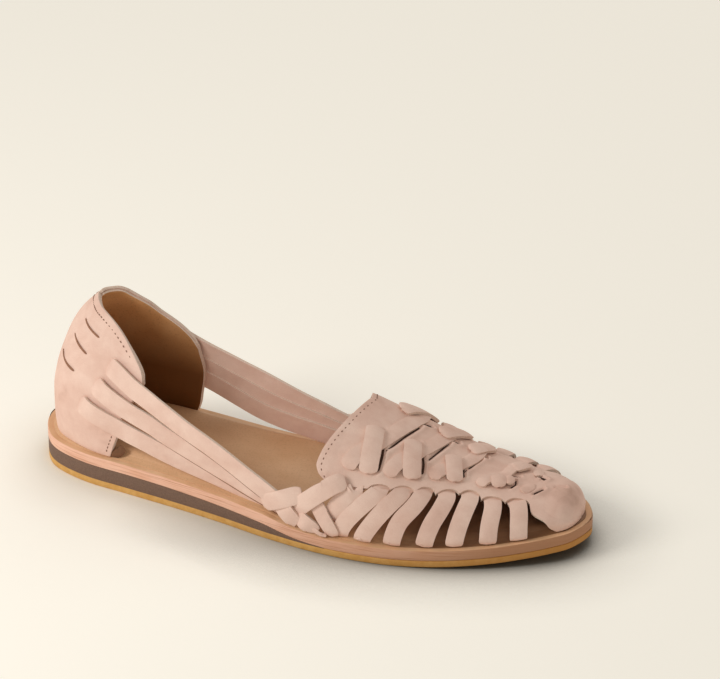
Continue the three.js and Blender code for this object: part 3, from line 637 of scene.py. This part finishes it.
def lining_material():
    """Vegetable tanned pigskin lining: golden tan, smooth, darker low down as painted shade, with a faint
    gloss and pores.
    """
    material = new_material("pigskin_lining")
    low = remap(material, object_axis(material, "Z"), 0.036, 0.072)
    cloud = object_noise(material, 14, 3.0, 0.5)
    pores = object_noise(material, 0.9, 2.0, 0.6)
    colour = two_toned(material, cloud, "#f2bd86", "#e2a870")
    # Painted shade: the lining darkens towards the bottom, where the counter keeps the light off it.
    shaded_low = blend_colours(material, low, linear("#7d5027"), colour)
    dotted = blend_colours(material, remap(material, pores, 0.55, 0.75, 0.0, 0.35), shaded_low, linear("#7d522b"))
    return finish_material(material, dotted, 0.62, bumped(material, pores, 0.3, 0.15),
                           **{"Specular IOR Level": 0.4})


def footbed_material():
    """Vegetable tanned sole leather, smooth side up: tan, with a soft gloss where the foot polishes it, and
    painted shade over the forefoot, under the vamp.
    """
    material = new_material("footbed_hide")
    front = remap(material, object_axis(material, "X"), 0.140, 0.165)
    cloud = object_noise(material, 30, 4.0, 0.55, (1.6, 1, 1))
    pores = object_noise(material, 0.8, 2.0, 0.6)
    colour = two_toned(material, cloud, "#e8bf98", "#d6a880", 0.32, 0.68)
    # Painted shade: dark brown from where the vamp begins forward, for the shade under it.
    inside = blend_colours(material, front, colour, linear("#8a6244"))
    dotted = blend_colours(material, remap(material, pores, 0.5, 0.75, 0.0, 0.2), inside, linear("#8a6040"))
    gloss = remap(material, cloud, 0.3, 0.7, 0.5, 0.62)
    return finish_material(material, dotted, gloss, bumped(material, pores, 0.25, 0.12),
                           **{"Specular IOR Level": 0.35})


def midsole_edge_material():
    """Stacked leather, cut and sanded at the edge: layered in fine strata, browner towards the toe."""
    material = new_material("midsole_cut_edge")
    strata = object_noise(material, 1.1, 3.0, 0.6, (22, 22, 0.55))
    cloud = object_noise(material, 9, 3.0, 0.6, (2, 2, 0.6))
    base = two_toned(material, cloud, "#f7c9b2", "#ecb69a")
    lined = blend_colours(material, remap(material, strata, 0.5, 0.72, 0.0, 0.75), base, linear("#b87b58"))
    toe = remap(material, object_axis(material, "X"), 0.095, 0.195, 0.0, 0.9)
    colour = blend_colours(material, toe, lined, linear("#b07d58"))
    return finish_material(material, colour, 0.68, bumped(material, strata, 0.5, 0.25))


def midsole_top_material():
    """The smooth grain side of the midsole, which shows as a tan shelf round the upper."""
    material = new_material("midsole_grain_side")
    cloud = object_noise(material, 12, 3.0, 0.55)
    pores = object_noise(material, 0.8, 2.0, 0.6)
    colour = two_toned(material, cloud, "#eac09a", "#d9ab82")
    return finish_material(material, colour, 0.6, bumped(material, pores, 0.3, 0.12))


def wedge_material():
    """Dark brown microcellular rubber, sanded at the edge: dull, with a fine even crumb."""
    material = new_material("microcellular_rubber")
    crumb = object_noise(material, 0.7, 3.0, 0.7)
    colour = two_toned(material, crumb, "#6e564a", "#826858")
    return finish_material(material, colour, 0.85, bumped(material, crumb, 0.4, 0.2))


def gum_material():
    """Natural gum rubber, sanded at the edge: amber, dull, slightly uneven, browner towards the toe."""
    material = new_material("gum_rubber")
    cloud = object_noise(material, 3.5, 3.0, 0.6)
    crumb = object_noise(material, 0.8, 2.0, 0.7)
    base = two_toned(material, cloud, "#dfb068", "#cf9a4e")
    toe = remap(material, object_axis(material, "X"), 0.12, 0.22, 0.0, 0.8)
    colour = blend_colours(material, toe, base, linear("#bd7f38"))
    return finish_material(material, colour, 0.72, bumped(material, crumb, 0.4, 0.2))


def thread_material():
    """Waxed thread sunk in the nap: brown, darker than the hide."""
    material = new_material("waxed_thread")
    twist = object_noise(material, 0.5, 2.0, 0.6)
    colour = blend_colours(material, twist, linear("#96725f"), linear("#7d5948"))
    return finish_material(material, colour, 0.8, bumped(material, twist, 0.4, 0.1))


def slit_shade_material():
    """Painted shade for the bottom of a slit: dark brown, in place of the shadowed inside of the shoe."""
    material = new_material("painted_slit_shade")
    fibres = object_noise(material, 1.0, 2.0, 0.6)
    colour = blend_colours(material, fibres, linear("#3c261c"), linear("#4e3427"))
    return finish_material(material, colour, 1.0)


def line_shade_material():
    """A brown, fibrous strip of painted shade, for the pinched cuts in the counter and the lines under
    overlapping straps.
    """
    material = new_material("painted_line_shade")
    fibres = object_noise(material, 0.8, 2.0, 0.6)
    colour = blend_colours(material, fibres, linear("#8d6450"), linear("#a3785f"))
    return finish_material(material, colour, 0.95)


def floor_material():
    """Matte painted board, pale cream, faintly lit from within, with a painted contact shadow in its glow
    and colour close to the forefoot, fading towards the heel.
    """
    material = new_material("cream_board")
    contact = add_node(material, "ShaderNodeAmbientOcclusion", {"samples": 8}, Distance=42 * MM)
    # Painted shadow: the glow dims where the shoe closes in on the floor.
    glow = remap(material, contact.outputs["AO"], 0.45, 1.0)
    lit = blend_colours(material, glow, linear("#000000"), linear("#f1f4f2"))
    # Painted shadow: the board's colour darkens near the forefoot, and the heel is kept clear of it.
    heel = remap(material, object_axis(material, "X"), 0.02, 0.16, 1.0, 0.0)
    clear = reckon(material, "MAXIMUM", glow, heel)
    shaded = blend_colours(material, clear, linear("#77756e"), linear("#f4f0e6"))
    return finish_material(material, shaded, 0.9, **{
        "Specular IOR Level": 0.1, "Emission Color": lit, "Emission Strength": FLOOR_GLOW,
    })


NUBUCK = nubuck_material("sanded_nubuck", "#f4d7ca", "#e6c3b5", "#c29d8c")
CUT_EDGE = cut_edge_material()
FLESH = flesh_side_material()
LINING = lining_material()
FOOTBED = footbed_material()
MIDSOLE_EDGE = midsole_edge_material()
MIDSOLE_TOP = midsole_top_material()
WEDGE = wedge_material()
GUM = gum_material()
THREAD = thread_material()
SLIT_SHADE = slit_shade_material()
LINE_SHADE = line_shade_material()


# Making pieces

def finished(name, mesh, materials, node="upper"):
    """A piece of the shoe from its bmesh, riding on the one body in place of its node."""
    data = bpy.data.meshes.new(name)
    mesh.to_mesh(data)
    mesh.free()
    for material in materials:
        data.materials.append(material)
    for polygon in data.polygons:
        polygon.use_smooth = True
    piece = bpy.data.objects.new(name, data)
    bpy.context.scene.collection.objects.link(piece)
    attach(piece, "root")
    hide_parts(node)
    return piece


def skin_mesh(rows, columns, place, tone_and_painted_shade=None, reverse=False):
    """A grid laid on place(t, s): t runs along from 0 to 1, and s across from -1 to 1."""
    mesh = bmesh.new()
    bmesh.ops.create_grid(mesh, x_segments=rows, y_segments=columns, size=1)
    shade = mesh.verts.layers.float.new("tone_and_painted_shade")
    for vertex in mesh.verts:
        t = clamp((vertex.co.x + 1) / 2)
        s = clamp(vertex.co.y, -1, 1)
        vertex[shade] = tone_and_painted_shade(t, s) if tone_and_painted_shade else 0.0
        vertex.co = placed(place(t, s))
    if reverse:
        bmesh.ops.reverse_faces(mesh, faces=mesh.faces)
    return mesh


def give_wall(piece, wall, edge=0.35, subdivide=1, inner=0):
    """Gives a skin its wall, inwards, with a rim of the second material, a soft edge and subdivision."""
    solid = piece.modifiers.new("wall", "SOLIDIFY")
    solid.thickness = wall * MM
    solid.offset = -1
    solid.use_even_offset = False
    solid.material_offset = inner
    solid.material_offset_rim = 1
    bevel = piece.modifiers.new("edge", "BEVEL")
    bevel.width = edge * MM
    bevel.segments = 2
    bevel.limit_method = "ANGLE"
    bevel.angle_limit = math.radians(50)
    if subdivide:
        fine = piece.modifiers.new("fine", "SUBSURF")
        fine.levels = subdivide
        fine.render_levels = subdivide
    return piece


draws = random.Random(7)


def strip(name, skin, places, width, thickness=STRIP_THICKNESS, rows=22, columns=6, ends=(1, 1), crown=0.35,
          tilt=0.0, tone_and_painted_shade=0.0, taper=(1.0, 1.0), edge=0.35, materials=None):
    """A cut strip of hide along places on a skin, each with a lift. Ends are 1 if round and 0 if square."""
    path = smooth_path([Vector(place) for place in places])
    samples = [path(i / 20) for i in range(21)]
    length = sum((skin(*b) - skin(*a)).length for a, b in zip(samples, samples[1:]))
    seed = draws.uniform(0, 100)
    shade = tone_and_painted_shade + draws.uniform(-0.08, 0.16)
    radius = width / 2

    def half_at(t):
        half = radius * mix(taper[0], taper[1], t)
        for rounding, distance in ((ends[0], t * length), (ends[1], (1 - t) * length)):
            if rounding and distance < radius:
                curve = math.sqrt(max(0.0, 1 - (1 - distance / radius) ** 2))
                half *= mix(1.0, max(0.30, curve), rounding)
        return half

    def place(t, s):
        spread = mix(t, (1 - math.cos(math.pi * t)) / 2, 0.55)
        here = path(spread)
        wobble = noise.noise(Vector((spread * length / 14, 3.7, seed)))
        swell = noise.noise(Vector((spread * length / 9, s * 0.6, seed + 31)))
        lift = here.z + thickness + crown * (1 - s * s) + tilt * s + 0.22 * swell
        low = skin(here.x, here.y, lift)
        high = skin(here.x, here.y, lift + 1)
        ahead = skin(*path(min(1, spread + 0.02)))
        behind = skin(*path(max(0, spread - 0.02)))
        forward = (ahead - behind).normalized()
        up = (high - low).normalized()
        across = up.cross(forward).normalized()
        point = low + across * (s * half_at(spread) + 0.3 * wobble)
        point.z = max(point.z, last_bottom(point.x) + SEAT)
        return point

    def tone_at(t, s):
        # Painted shade: a strip darkens near its ends, where it passes under other pieces; the noise is
        # random tone.
        end_shade = max(0.0, 1 - min(t, 1 - t) * 9)
        return shade + 0.18 * end_shade + 0.10 * noise.noise(Vector((t * 3, s, seed)))

    mesh = skin_mesh(rows, columns, place, tone_at)
    piece = finished(name, mesh, materials or [NUBUCK, CUT_EDGE])
    return give_wall(piece, thickness, edge)


def dark_line(name, skin, places, width, thickness, rows, taper, material):
    """A thin dark strip of painted shade that lies in a cut or along an edge."""
    return strip(name, skin, places, width, thickness=thickness, rows=rows, columns=3, crown=0, taper=taper,
                 materials=[material, material], edge=0.05)


# Sole

def sole_layer(name, inset, bottom, top, end_share, node, materials, edge):
    """A layer of the sole between two heights; faces that look up take the second material."""
    tip = 0.0006
    rows = 150
    columns = 10

    def place(t, s):
        round_off = (1 - math.cos(math.pi * t)) / 2
        spread = mix(t, round_off, 0.8)
        share = mix(tip, 1 - tip if end_share == 1 else end_share, spread)
        point = outline_point(share, -1, inset).lerp(outline_point(share, 1, inset), (s + 1) / 2)
        point.z = top(point.x)
        return point

    mesh = skin_mesh(rows, columns, place)
    upper_faces = list(mesh.faces)
    made = bmesh.ops.extrude_face_region(mesh, geom=upper_faces)
    lower = [item for item in made["geom"] if isinstance(item, bmesh.types.BMVert)]
    for vertex in lower:
        vertex.co.z = bottom(vertex.co.x / MM - HEEL_BACK) * MM
    bmesh.ops.recalc_face_normals(mesh, faces=mesh.faces)
    mesh.normal_update()
    rims = [e for e in mesh.edges if len(e.link_faces) == 2 and e.calc_face_angle(0) > math.radians(50)]
    bmesh.ops.bevel(mesh, geom=rims, offset=edge * MM, segments=3, profile=0.5, affect="EDGES", material=-1)
    mesh.normal_update()
    for face in mesh.faces:
        face.material_index = 1 if face.normal.z > 0.8 else 0
    return finished(name, mesh, materials, node)


def insole_piece():
    """The footbed, dished at the heel and turned down at its edge."""
    inset = 5.6
    turned_down = 2.2
    dish = 0.9
    rows = 110
    columns = 28

    def place(t, s):
        spread = mix(t, (1 - math.cos(math.pi * t)) / 2, 0.8)
        share = mix(0.001, 0.999, spread)
        reach = math.copysign(1 - (1 - abs(s)) ** 1.5, s)
        left = outline_point(share, -1, inset)
        right = outline_point(share, 1, inset)
        point = left.lerp(right, (reach + 1) / 2)
        half = (right - left).length / 2
        to_side = half * (1 - abs(reach))
        to_tip = min(point.x - inset, SHOE_LENGTH - inset - point.x)
        rim = clamp(1 - min(to_side, max(to_tip, 0)) / 4)
        heel = math.exp(-((point.x - 38) / 34) ** 2)
        hollow = dish * heel * (1 - smooth(1 - to_side / 20))
        point.z = insole_bottom(point.x) + INSOLE_THICKNESS - turned_down * rim * rim - hollow
        return point

    mesh = skin_mesh(rows, columns, place)
    piece = finished("footbed", mesh, [FOOTBED, FOOTBED], "insole")
    return give_wall(piece, 1.6, 0.4, 0)


def margin_piece():
    """The turned-in edge of the upper on the midsole, which rises under the edge of the footbed."""
    outer = RIM_WIDTH - 1.4
    inner = RIM_WIDTH + 4.4
    rise = 2.7

    def place(t, s):
        around = t * 2
        side = -1 if around <= 1 else 1
        share = around if around <= 1 else 2 - around
        across = (s + 1) / 2
        point = outline_point(share, side, mix(outer, inner, across))
        point.z = last_bottom(point.x) + rise * smooth(across)
        return point

    mesh = skin_mesh(260, 6, place)
    bmesh.ops.remove_doubles(mesh, verts=mesh.verts, dist=0.01 * MM)
    bmesh.ops.recalc_face_normals(mesh, faces=mesh.faces)
    piece = finished("lasting_margin", mesh, [FOOTBED, FOOTBED])
    return give_wall(piece, 0.6, 0.2, 0)


# Vamp

SURFACE_RELIEF = 0.14
RELIEF_END = 248
CUT_DEPTH = 1.0
CUT_OPENING = 0.75
CUT_SINK = -0.55
CUT_LIP = 0.55
LIP_OFFSET = 0.9
LIP_SPREAD = 1.3
FIRST_ARCH = 0.35
edge_back = follow(VAMP_EDGE_BACK)
edge_front = follow(VAMP_EDGE_FRONT)


def base_for(along, share):
    """The base of the line across the vamp that passes a point of its edge."""
    setback = throat_setback[-1](share)
    start = THROAT_ALONG * SHOE_LENGTH
    base = (along * SHOE_LENGTH + setback * (1 + start / THROAT_FADE)) / (1 + setback / THROAT_FADE)
    return base if base < start + THROAT_FADE else along * SHOE_LENGTH


CUSP_BASES = [base_for(along, share) for along, share in CUSPS]


def vamp_reach(base):
    """The vamp's edge as a share: an arch over each side strip, the first a shallow one."""
    if base <= CUSP_BASES[0]:
        return edge_back(base / SHOE_LENGTH)
    if base >= CUSP_BASES[-1]:
        return edge_front(base / SHOE_LENGTH)
    i = min(bisect.bisect_right(CUSP_BASES, base) - 1, len(CUSPS) - 2)
    phase = (base - CUSP_BASES[i]) / (CUSP_BASES[i + 1] - CUSP_BASES[i])
    chord = mix(CUSPS[i][1], CUSPS[i + 1][1], phase)
    middle = (CUSPS[i][1] + CUSPS[i + 1][1]) / 2
    if i == 0:
        return chord - FIRST_ARCH * (middle - ARCH_TOPS[i][1]) * math.sin(math.pi * phase) ** 2
    dome = (1 - abs(2 * phase - 1) ** 2.4) ** 0.62
    return chord - (middle - ARCH_TOPS[i][1]) * dome


def cut_relief(x, arc):
    """How far the leather sinks in a cut of the vamp, and rises in a lip on its toe side."""
    far_along = 16
    far_across = 3
    relief = 0.0
    for line, width, _ in VAMP_CUTS:
        low, high = sorted((line[0][1], line[-1][1]))
        if abs(x - line[1][0]) > far_along or arc < low - far_across or arc > high + far_across:
            continue
        nearest = 99.0
        for (ax, ay), (bx, by) in zip(line, line[1:]):
            run_x, run_y = bx - ax, by - ay
            t = clamp(((x - ax) * run_x + (arc - ay) * run_y) / (run_x * run_x + run_y * run_y))
            away_x, away_y = x - ax - t * run_x, arc - ay - t * run_y
            gap = math.hypot(away_x, away_y)
            if gap < abs(nearest):
                nearest = math.copysign(gap, away_x)
        deep = nearest / (0.45 + width * 0.35)
        lip = (nearest - LIP_OFFSET - width * 0.5) / LIP_SPREAD
        relief += CUT_LIP * min(width, 1.2) * math.exp(-lip * lip) - CUT_DEPTH * math.exp(-deep * deep)
    return relief


def cap_flare(x, share):
    """The toe cap's swell over the sole, low down at its sides and front."""
    cap_start, cap_rise = 212, 26
    fullest, spread = 0.80, 0.16
    nose_start, nose_rise = 240, 8
    tuck_start, tuck_length = TIP_X - 3.2, 2.4
    front = smooth((x - cap_start) / cap_rise)
    low = math.exp(-((abs(share) - fullest) / spread) ** 2)
    nose = smooth((x - nose_start) / nose_rise) * 0.8
    tuck = 1 - smooth((x - tuck_start) / tuck_length) * 0.55
    return CAP_FLARE * front * max(low, nose) * tuck


def vamp_lift(x, share):
    """Swells of the vamp and the relief of its cuts."""
    lift = SURFACE_RELIEF * noise.noise(Vector((x / 11, share * 5, 2.0)))
    lift += cut_relief(x, arc_at(x, share)) if x < RELIEF_END else 0
    return lift + cap_flare(x, share)


def vamp_piece():
    """The vamp with its toe cap, one panel from the throat to the tip."""
    rows = 250
    columns = 136
    crowd_back = 0.92
    crowd_edge = 0.94
    start = THROAT_ALONG * SHOE_LENGTH
    end = TIP_X - VAMP_END_GAP

    def place(t, s):
        last_row = t > 1 - 0.4 / rows
        t_in = clamp(t * rows / (rows - 1))
        base = start + (end - start) * math.sin(t_in * math.pi / 2) ** crowd_back
        share = math.copysign(abs(s) ** crowd_edge, s) * vamp_reach(base)
        if last_row:
            width = 1 - abs(s)
            return Vector((TIP_X - NOSE_STEP, s, last_bottom(TIP_X) + SEAT + width))
        x = throat_at(base, share)
        return vamp_skin(x, share, vamp_lift(x, share))

    # Painted shade: darker along the ridge of the vamp, where less light falls than on its sides, and
    # towards the toe, further from the key light.
    def tone_and_painted_shade(t, s):
        return 0.30 * (1 - smooth(abs(s) / 0.7)) + 0.14 * smooth((t - 0.55) / 0.25)

    mesh = skin_mesh(rows, columns, place, tone_and_painted_shade)
    piece = finished("vamp", mesh, [NUBUCK, CUT_EDGE, FLESH])
    return give_wall(piece, UPPER_WALL, 0.3, 0, inner=2)


def side_strip_pieces():
    """Strips that rise from the sole, pass under an arch of the vamp and end inside it."""
    flare_start, flare_rise = 150, 22
    overlap = 0.8
    for side, word in SIDES:
        for number, (rows, (top_along, top_share)) in enumerate(zip(SIDE_STRIPS, ARCH_TOPS), 1):
            first, second, third, fourth, foot = rows
            flare = FOOT_FLARE * smooth((foot[0] * SHOE_LENGTH - flare_start) / flare_rise)
            back_along = top_along - (second[0] - first[0]) * overlap
            back_share = top_share - (second[1] - first[1]) * overlap
            run = [
                (back_along, back_share, -3.8),
                (top_along, top_share + 0.01, -2.9),
                (mix(first[0], second[0], 0.12), mix(first[1], second[1], 0.12), -1.0),
                (*second, -0.15),
                (*third, 0.1),
                (*fourth, flare - 0.9),
                (*foot, flare - 2.2),
            ]
            places = [(along * SHOE_LENGTH, side * share, lift) for along, share, lift in run]
            strip(f"side_strip_{word}_{number}", vamp_skin, places, SIDE_STRIP_WIDTH, rows=30,
                  ends=(0.4, 0.7), crown=0.4)


BAND_LIFT = -1.05
BAND_END_LIFTS = (-0.9, 0.3, -0.2)
LOOP_LIFTS = ((0, -0.7), (0.12, 0.1), (0.35, 0.45), (0.65, 0.45), (0.88, 0.1), (1, -0.7))


def weave_pieces():
    """Bands across the vamp with puffed ends, and a loop over each on both sides."""
    for number, (band, band_width, loops, loop_width) in enumerate(WEAVE_ROWS, 1):
        places = []
        for i, (x, arc) in enumerate(band):
            from_end = min(i, len(band) - 1 - i)
            lift = BAND_END_LIFTS[from_end] if from_end < len(BAND_END_LIFTS) else BAND_LIFT
            places.append((x, share_at_arc(x, arc), lift))
        strip(f"weave_band_{number}", vamp_skin, places, band_width, rows=60, crown=0.25, tilt=-0.2,
              tone_and_painted_shade=0.2)
        for (side, word), line in zip(SIDES, loops):
            path = smooth_path([Vector((*point, 0)) for point in line])
            run = []
            for t, lift in LOOP_LIFTS:
                here = path(t)
                run.append((here.x, share_at_arc(here.x, here.y), lift))
            strip(f"weave_loop_{word}_{number}", vamp_skin, run, loop_width, thickness=1.6, columns=8,
                  crown=0.55, tone_and_painted_shade=0.02)


def toe_pieces():
    """The low bumps behind the toe cap."""
    for number, (line, width, lift) in enumerate(TOE_BUMPS, 1):
        strip(f"toe_bump_{number}", vamp_skin, on_vamp(line, lift), width, rows=14, crown=0.4,
              ends=(0.7, 0.7), tone_and_painted_shade=0.1)


def cut_shade_pieces():
    """Painted shade in each cut of the vamp: a dark strip in place of the shadowed inside of the shoe."""
    for number, (line, width, taper) in enumerate(VAMP_CUTS, 1):
        dark_line(f"vamp_cut_shade_{number}", vamp_skin, on_vamp(line, CUT_SINK), width * CUT_OPENING, 0.3, 24,
                  taper, SLIT_SHADE)


# Heel

collar_height = {side: follow(COLLAR[side]) for side in (-1, 1)}
counter_front = {side: follow(COUNTER_FRONT[side]) for side in (-1, 1)}


def base_flare(x, height):
    """How far the counter's foot stands out near its lateral front corner."""
    start, rise = 12, 30
    fade_height = 13
    return COUNTER_FLARE * smooth((x - start) / rise) * (1 - smooth(height / fade_height))


def counter_place(around, part, lift, below=0.0):
    """A point of the counter: around from -1 at its lateral front edge to 1, part of the collar's height."""
    side = -1 if around < 0 else 1
    top_share = abs(around) * feather_share(counter_front[side](1) * SHOE_LENGTH, side)
    top = collar_height[side](outline_point(top_share, side, RIM_WIDTH).x / SHOE_LENGTH)
    level = top * part - below / COUNTER_HEIGHT
    share = abs(around) * feather_share(counter_front[side](level) * SHOE_LENGTH, side)
    height = level * COUNTER_HEIGHT
    flare = base_flare(outline_point(share, side, RIM_WIDTH).x, height)
    return wall_skin(side)(max(share, 0.001), height, lift + flare)


def counter_pieces():
    """The counter's nubuck and the lining inside it."""
    def outer(t, s):
        part = (s + 1) / 2
        pucker = 0.3 * noise.noise(Vector((t * 14, part * 3, 5.0)))
        return counter_place(2 * t - 1, part, pucker * smooth(part * 4))

    def inner(t, s):
        return counter_place(2 * t - 1, (s + 1) / 2, -COUNTER_SKIN - 0.1, 0.35)

    mesh = skin_mesh(130, 34, outer, lambda t, s: 0.12 * (1 - s), reverse=True)
    piece = finished("counter", mesh, [NUBUCK, CUT_EDGE])
    give_wall(piece, COUNTER_SKIN, 0.35, 0)
    lining = finished("counter_lining", skin_mesh(110, 26, inner, reverse=True), [LINING, CUT_EDGE])
    give_wall(lining, LINING_SKIN, 0.3, 0)


def counter_slit_pieces():
    for side, word in SIDES:
        skin = wall_skin(side)
        for number, (from_along, from_height, to_along, to_height) in enumerate(COUNTER_SLITS, 1):
            start = Vector((*on_wall(side, from_along, from_height), 0))
            stop = Vector((*on_wall(side, to_along, to_height), 0))
            # Each slit is a dark strip of painted shade laid on the wall.
            run = [(*start.lerp(stop, t).xy, 0.12) for t in (0, 0.5, 1)]
            dark_line(f"counter_slit_shade_{word}_{number}", skin, run, SLIT_WIDTH, 0.2, 14, (0.7, 1.0), LINE_SHADE)


def counter_corner_pieces():
    """The counter's front corner at the sole: its flesh side curls out past the edge."""
    skin = wall_skin(-1)
    run = [(*on_wall(-1, along, height), lift) for along, height, lift in COUNTER_CORNER]
    # Its dark brown is partly the flesh side's own colour and partly painted shade.
    strip("counter_corner", skin, run, 4.2, thickness=1.0, rows=16, crown=0.3, materials=[FLESH, FLESH])


def strap_pieces():
    """Three straps a side, with a dark strip of painted shadow under the first two, where one overlaps the
    next.
    """
    for side, word in SIDES:
        skin = wall_skin(side)
        for number, rows in enumerate(STRAPS[side], 1):
            places = [(*on_wall(side, along, height), lift) for along, height, lift in rows]
            strip(f"strap_{word}_{number}", skin, places, STRAP_WIDTH, rows=54, ends=(0.75, 0), crown=0.25)
            if number < len(STRAPS[side]):
                # Painted shadow under the strap's lower edge, on the strap below it.
                shade = []
                for share, height, lift in places[2:]:
                    shade.append((share, height - STRAP_WIDTH * 0.5 - SHADE_DROP, lift + SHADE_LIFT))
                dark_line(f"strap_shade_{word}_{number}", skin, shade, SHADE_WIDTH, 0.3, 40, (0.5, 0.9),
                          LINE_SHADE)


def knot_pieces():
    """The braid that gathers the straps at the waist."""
    for side, word in SIDES:
        for number, (rows, width) in enumerate(KNOTS, 1):
            places = [(along * SHOE_LENGTH, side * share, lift) for along, share, lift in rows]
            strip(f"knot_{word}_{number}", vamp_skin, places, width, rows=24, ends=(0.6, 0.5), crown=0.45)


# Stitching

def stitch_row(name, line, count, size):
    """Stitches along line(t, lift), which runs over the hide as t goes from 0 to 1."""
    mesh = bmesh.new()
    for i in range(count):
        t = (i + 0.5) / count
        here = line(t, -STITCH_SINK)
        outward = (line(t, 1.0) - here).normalized()
        forward = (line(min(1, t + 0.01), -STITCH_SINK) - line(max(0, t - 0.01), -STITCH_SINK)).normalized()
        across = outward.cross(forward).normalized()
        turn = Matrix((forward, across, outward)).transposed().to_4x4()
        scale = Matrix.Diagonal((size * 0.75 * MM, size * 0.38 * MM, size * 0.3 * MM, 1))
        where = Matrix.Translation(placed(here))
        bmesh.ops.create_icosphere(mesh, subdivisions=2, radius=1, matrix=where @ turn @ scale)
    return finished(name, mesh, [THREAD])


def stitch_pieces():
    """Rows of stitches round the collar, along the throat and at the counter's front corner."""

    def collar(t, lift):
        return counter_place(mix(-0.97, 0.97, t), 1, lift, COLLAR_STITCH_INSET)

    def throat(t, lift):
        share = mix(-0.66, 0.60, t)
        x = throat_at(THROAT_ALONG * SHOE_LENGTH, share) + THROAT_STITCH_INSET
        return vamp_skin(x, share, vamp_lift(x, share) + lift)

    def corner(t, lift):
        height = mix(2.5, 11, t)
        x = counter_front[-1](height / COUNTER_HEIGHT) * SHOE_LENGTH - CORNER_STITCH_INSET
        return wall_skin(-1)(feather_share(x, -1), height, base_flare(x, height) + lift)

    stitch_row("collar_stitches", collar, count=52, size=0.8)
    stitch_row("throat_stitches", throat, count=36, size=0.75)
    stitch_row("corner_stitches", corner, count=5, size=0.85)


# Stage, light and camera

def stage_floor():
    mesh = bmesh.new()
    bmesh.ops.create_grid(mesh, x_segments=2, y_segments=2, size=6)
    data = bpy.data.meshes.new("floor")
    mesh.to_mesh(data)
    mesh.free()
    data.materials.append(floor_material())
    floor = bpy.data.objects.new("floor", data)
    bpy.context.scene.collection.objects.link(floor)


def aim(thing, target):
    thing.rotation_euler = (Vector(target) - thing.location).to_track_quat("-Z", "Y").to_euler()


def area_light(name, location, target, size, energy, colour):
    light = bpy.data.lights.new(name, "AREA")
    light.shape = "DISK"
    light.size = size
    light.energy = energy
    light.color = linear(colour)[:3]
    lamp = bpy.data.objects.new(name, light)
    lamp.location = location
    bpy.context.scene.collection.objects.link(lamp)
    aim(lamp, target)


def set_lights():
    """A low key from the lateral side of the heel, a weak light from behind and an even sky."""
    heel_side = (0.05, 0.0, 0.03)
    middle = (0.10, 0.0, 0.02)
    area_light("key", (-0.50, -0.52, 0.56), heel_side, size=0.42, energy=3.9, colour="#fffaf4")
    area_light("back", (0.3, 1.5, 1.5), middle, size=1.6, energy=7, colour="#fffaf5")
    world = bpy.data.worlds.new("studio")
    world.use_nodes = True
    background = world.node_tree.nodes["Background"]
    background.inputs["Color"].default_value = linear("#fbf3e6")
    background.inputs["Strength"].default_value = 0.44
    bpy.context.scene.world = world
    bpy.context.scene.view_settings.view_transform = "Standard"


def set_camera():
    """The photograph's view: a long lens, 30 degrees above the floor, over the lateral side of the toe."""
    sight = Vector((-0.3246, 0.8008, -0.5033))
    right = Vector((0.9268, 0.3757, 0.0))
    above = Vector((-0.1891, 0.4664, 0.8641))
    middle = Vector((0.100, 0.0, 0.020))
    distance = 1.705
    aside, upward = 0.01916, 0.05025
    target = middle + aside * right + upward * above
    camera = bpy.data.cameras.new("camera")
    camera.sensor_width = 36
    camera.lens = 192
    camera.clip_end = 20
    eye = bpy.data.objects.new("camera", camera)
    eye.location = middle - distance * sight
    bpy.context.scene.collection.objects.link(eye)
    aim(eye, target)
    bpy.context.scene.camera = eye


set_camera()
gum_skin = [GUM, GUM]
sole_layer("gum_outsole", 0.0, floor_lift, lambda x: gum_top(x) + 0.1, 1, "outsole", gum_skin, 0.5)
sole_layer("wedge", 0.0, lambda x: gum_top(x) + 0.05,
           lambda x: max(wedge_top(x), gum_top(x) + LAYER_GAP) + 0.2,
           WEDGE_END, "heel_wedge", [WEDGE, WEDGE], 0.15)
sole_layer("leather_midsole", -0.05, lambda x: midsole_bottom(x) - 0.15, midsole_top, 1,
           "midsole", [MIDSOLE_EDGE, MIDSOLE_TOP], 0.5)
insole_piece()
margin_piece()
vamp_piece()
side_strip_pieces()
weave_pieces()
toe_pieces()
cut_shade_pieces()
counter_pieces()
counter_slit_pieces()
counter_corner_pieces()
strap_pieces()
knot_pieces()
stitch_pieces()
stage_floor()
set_lights()
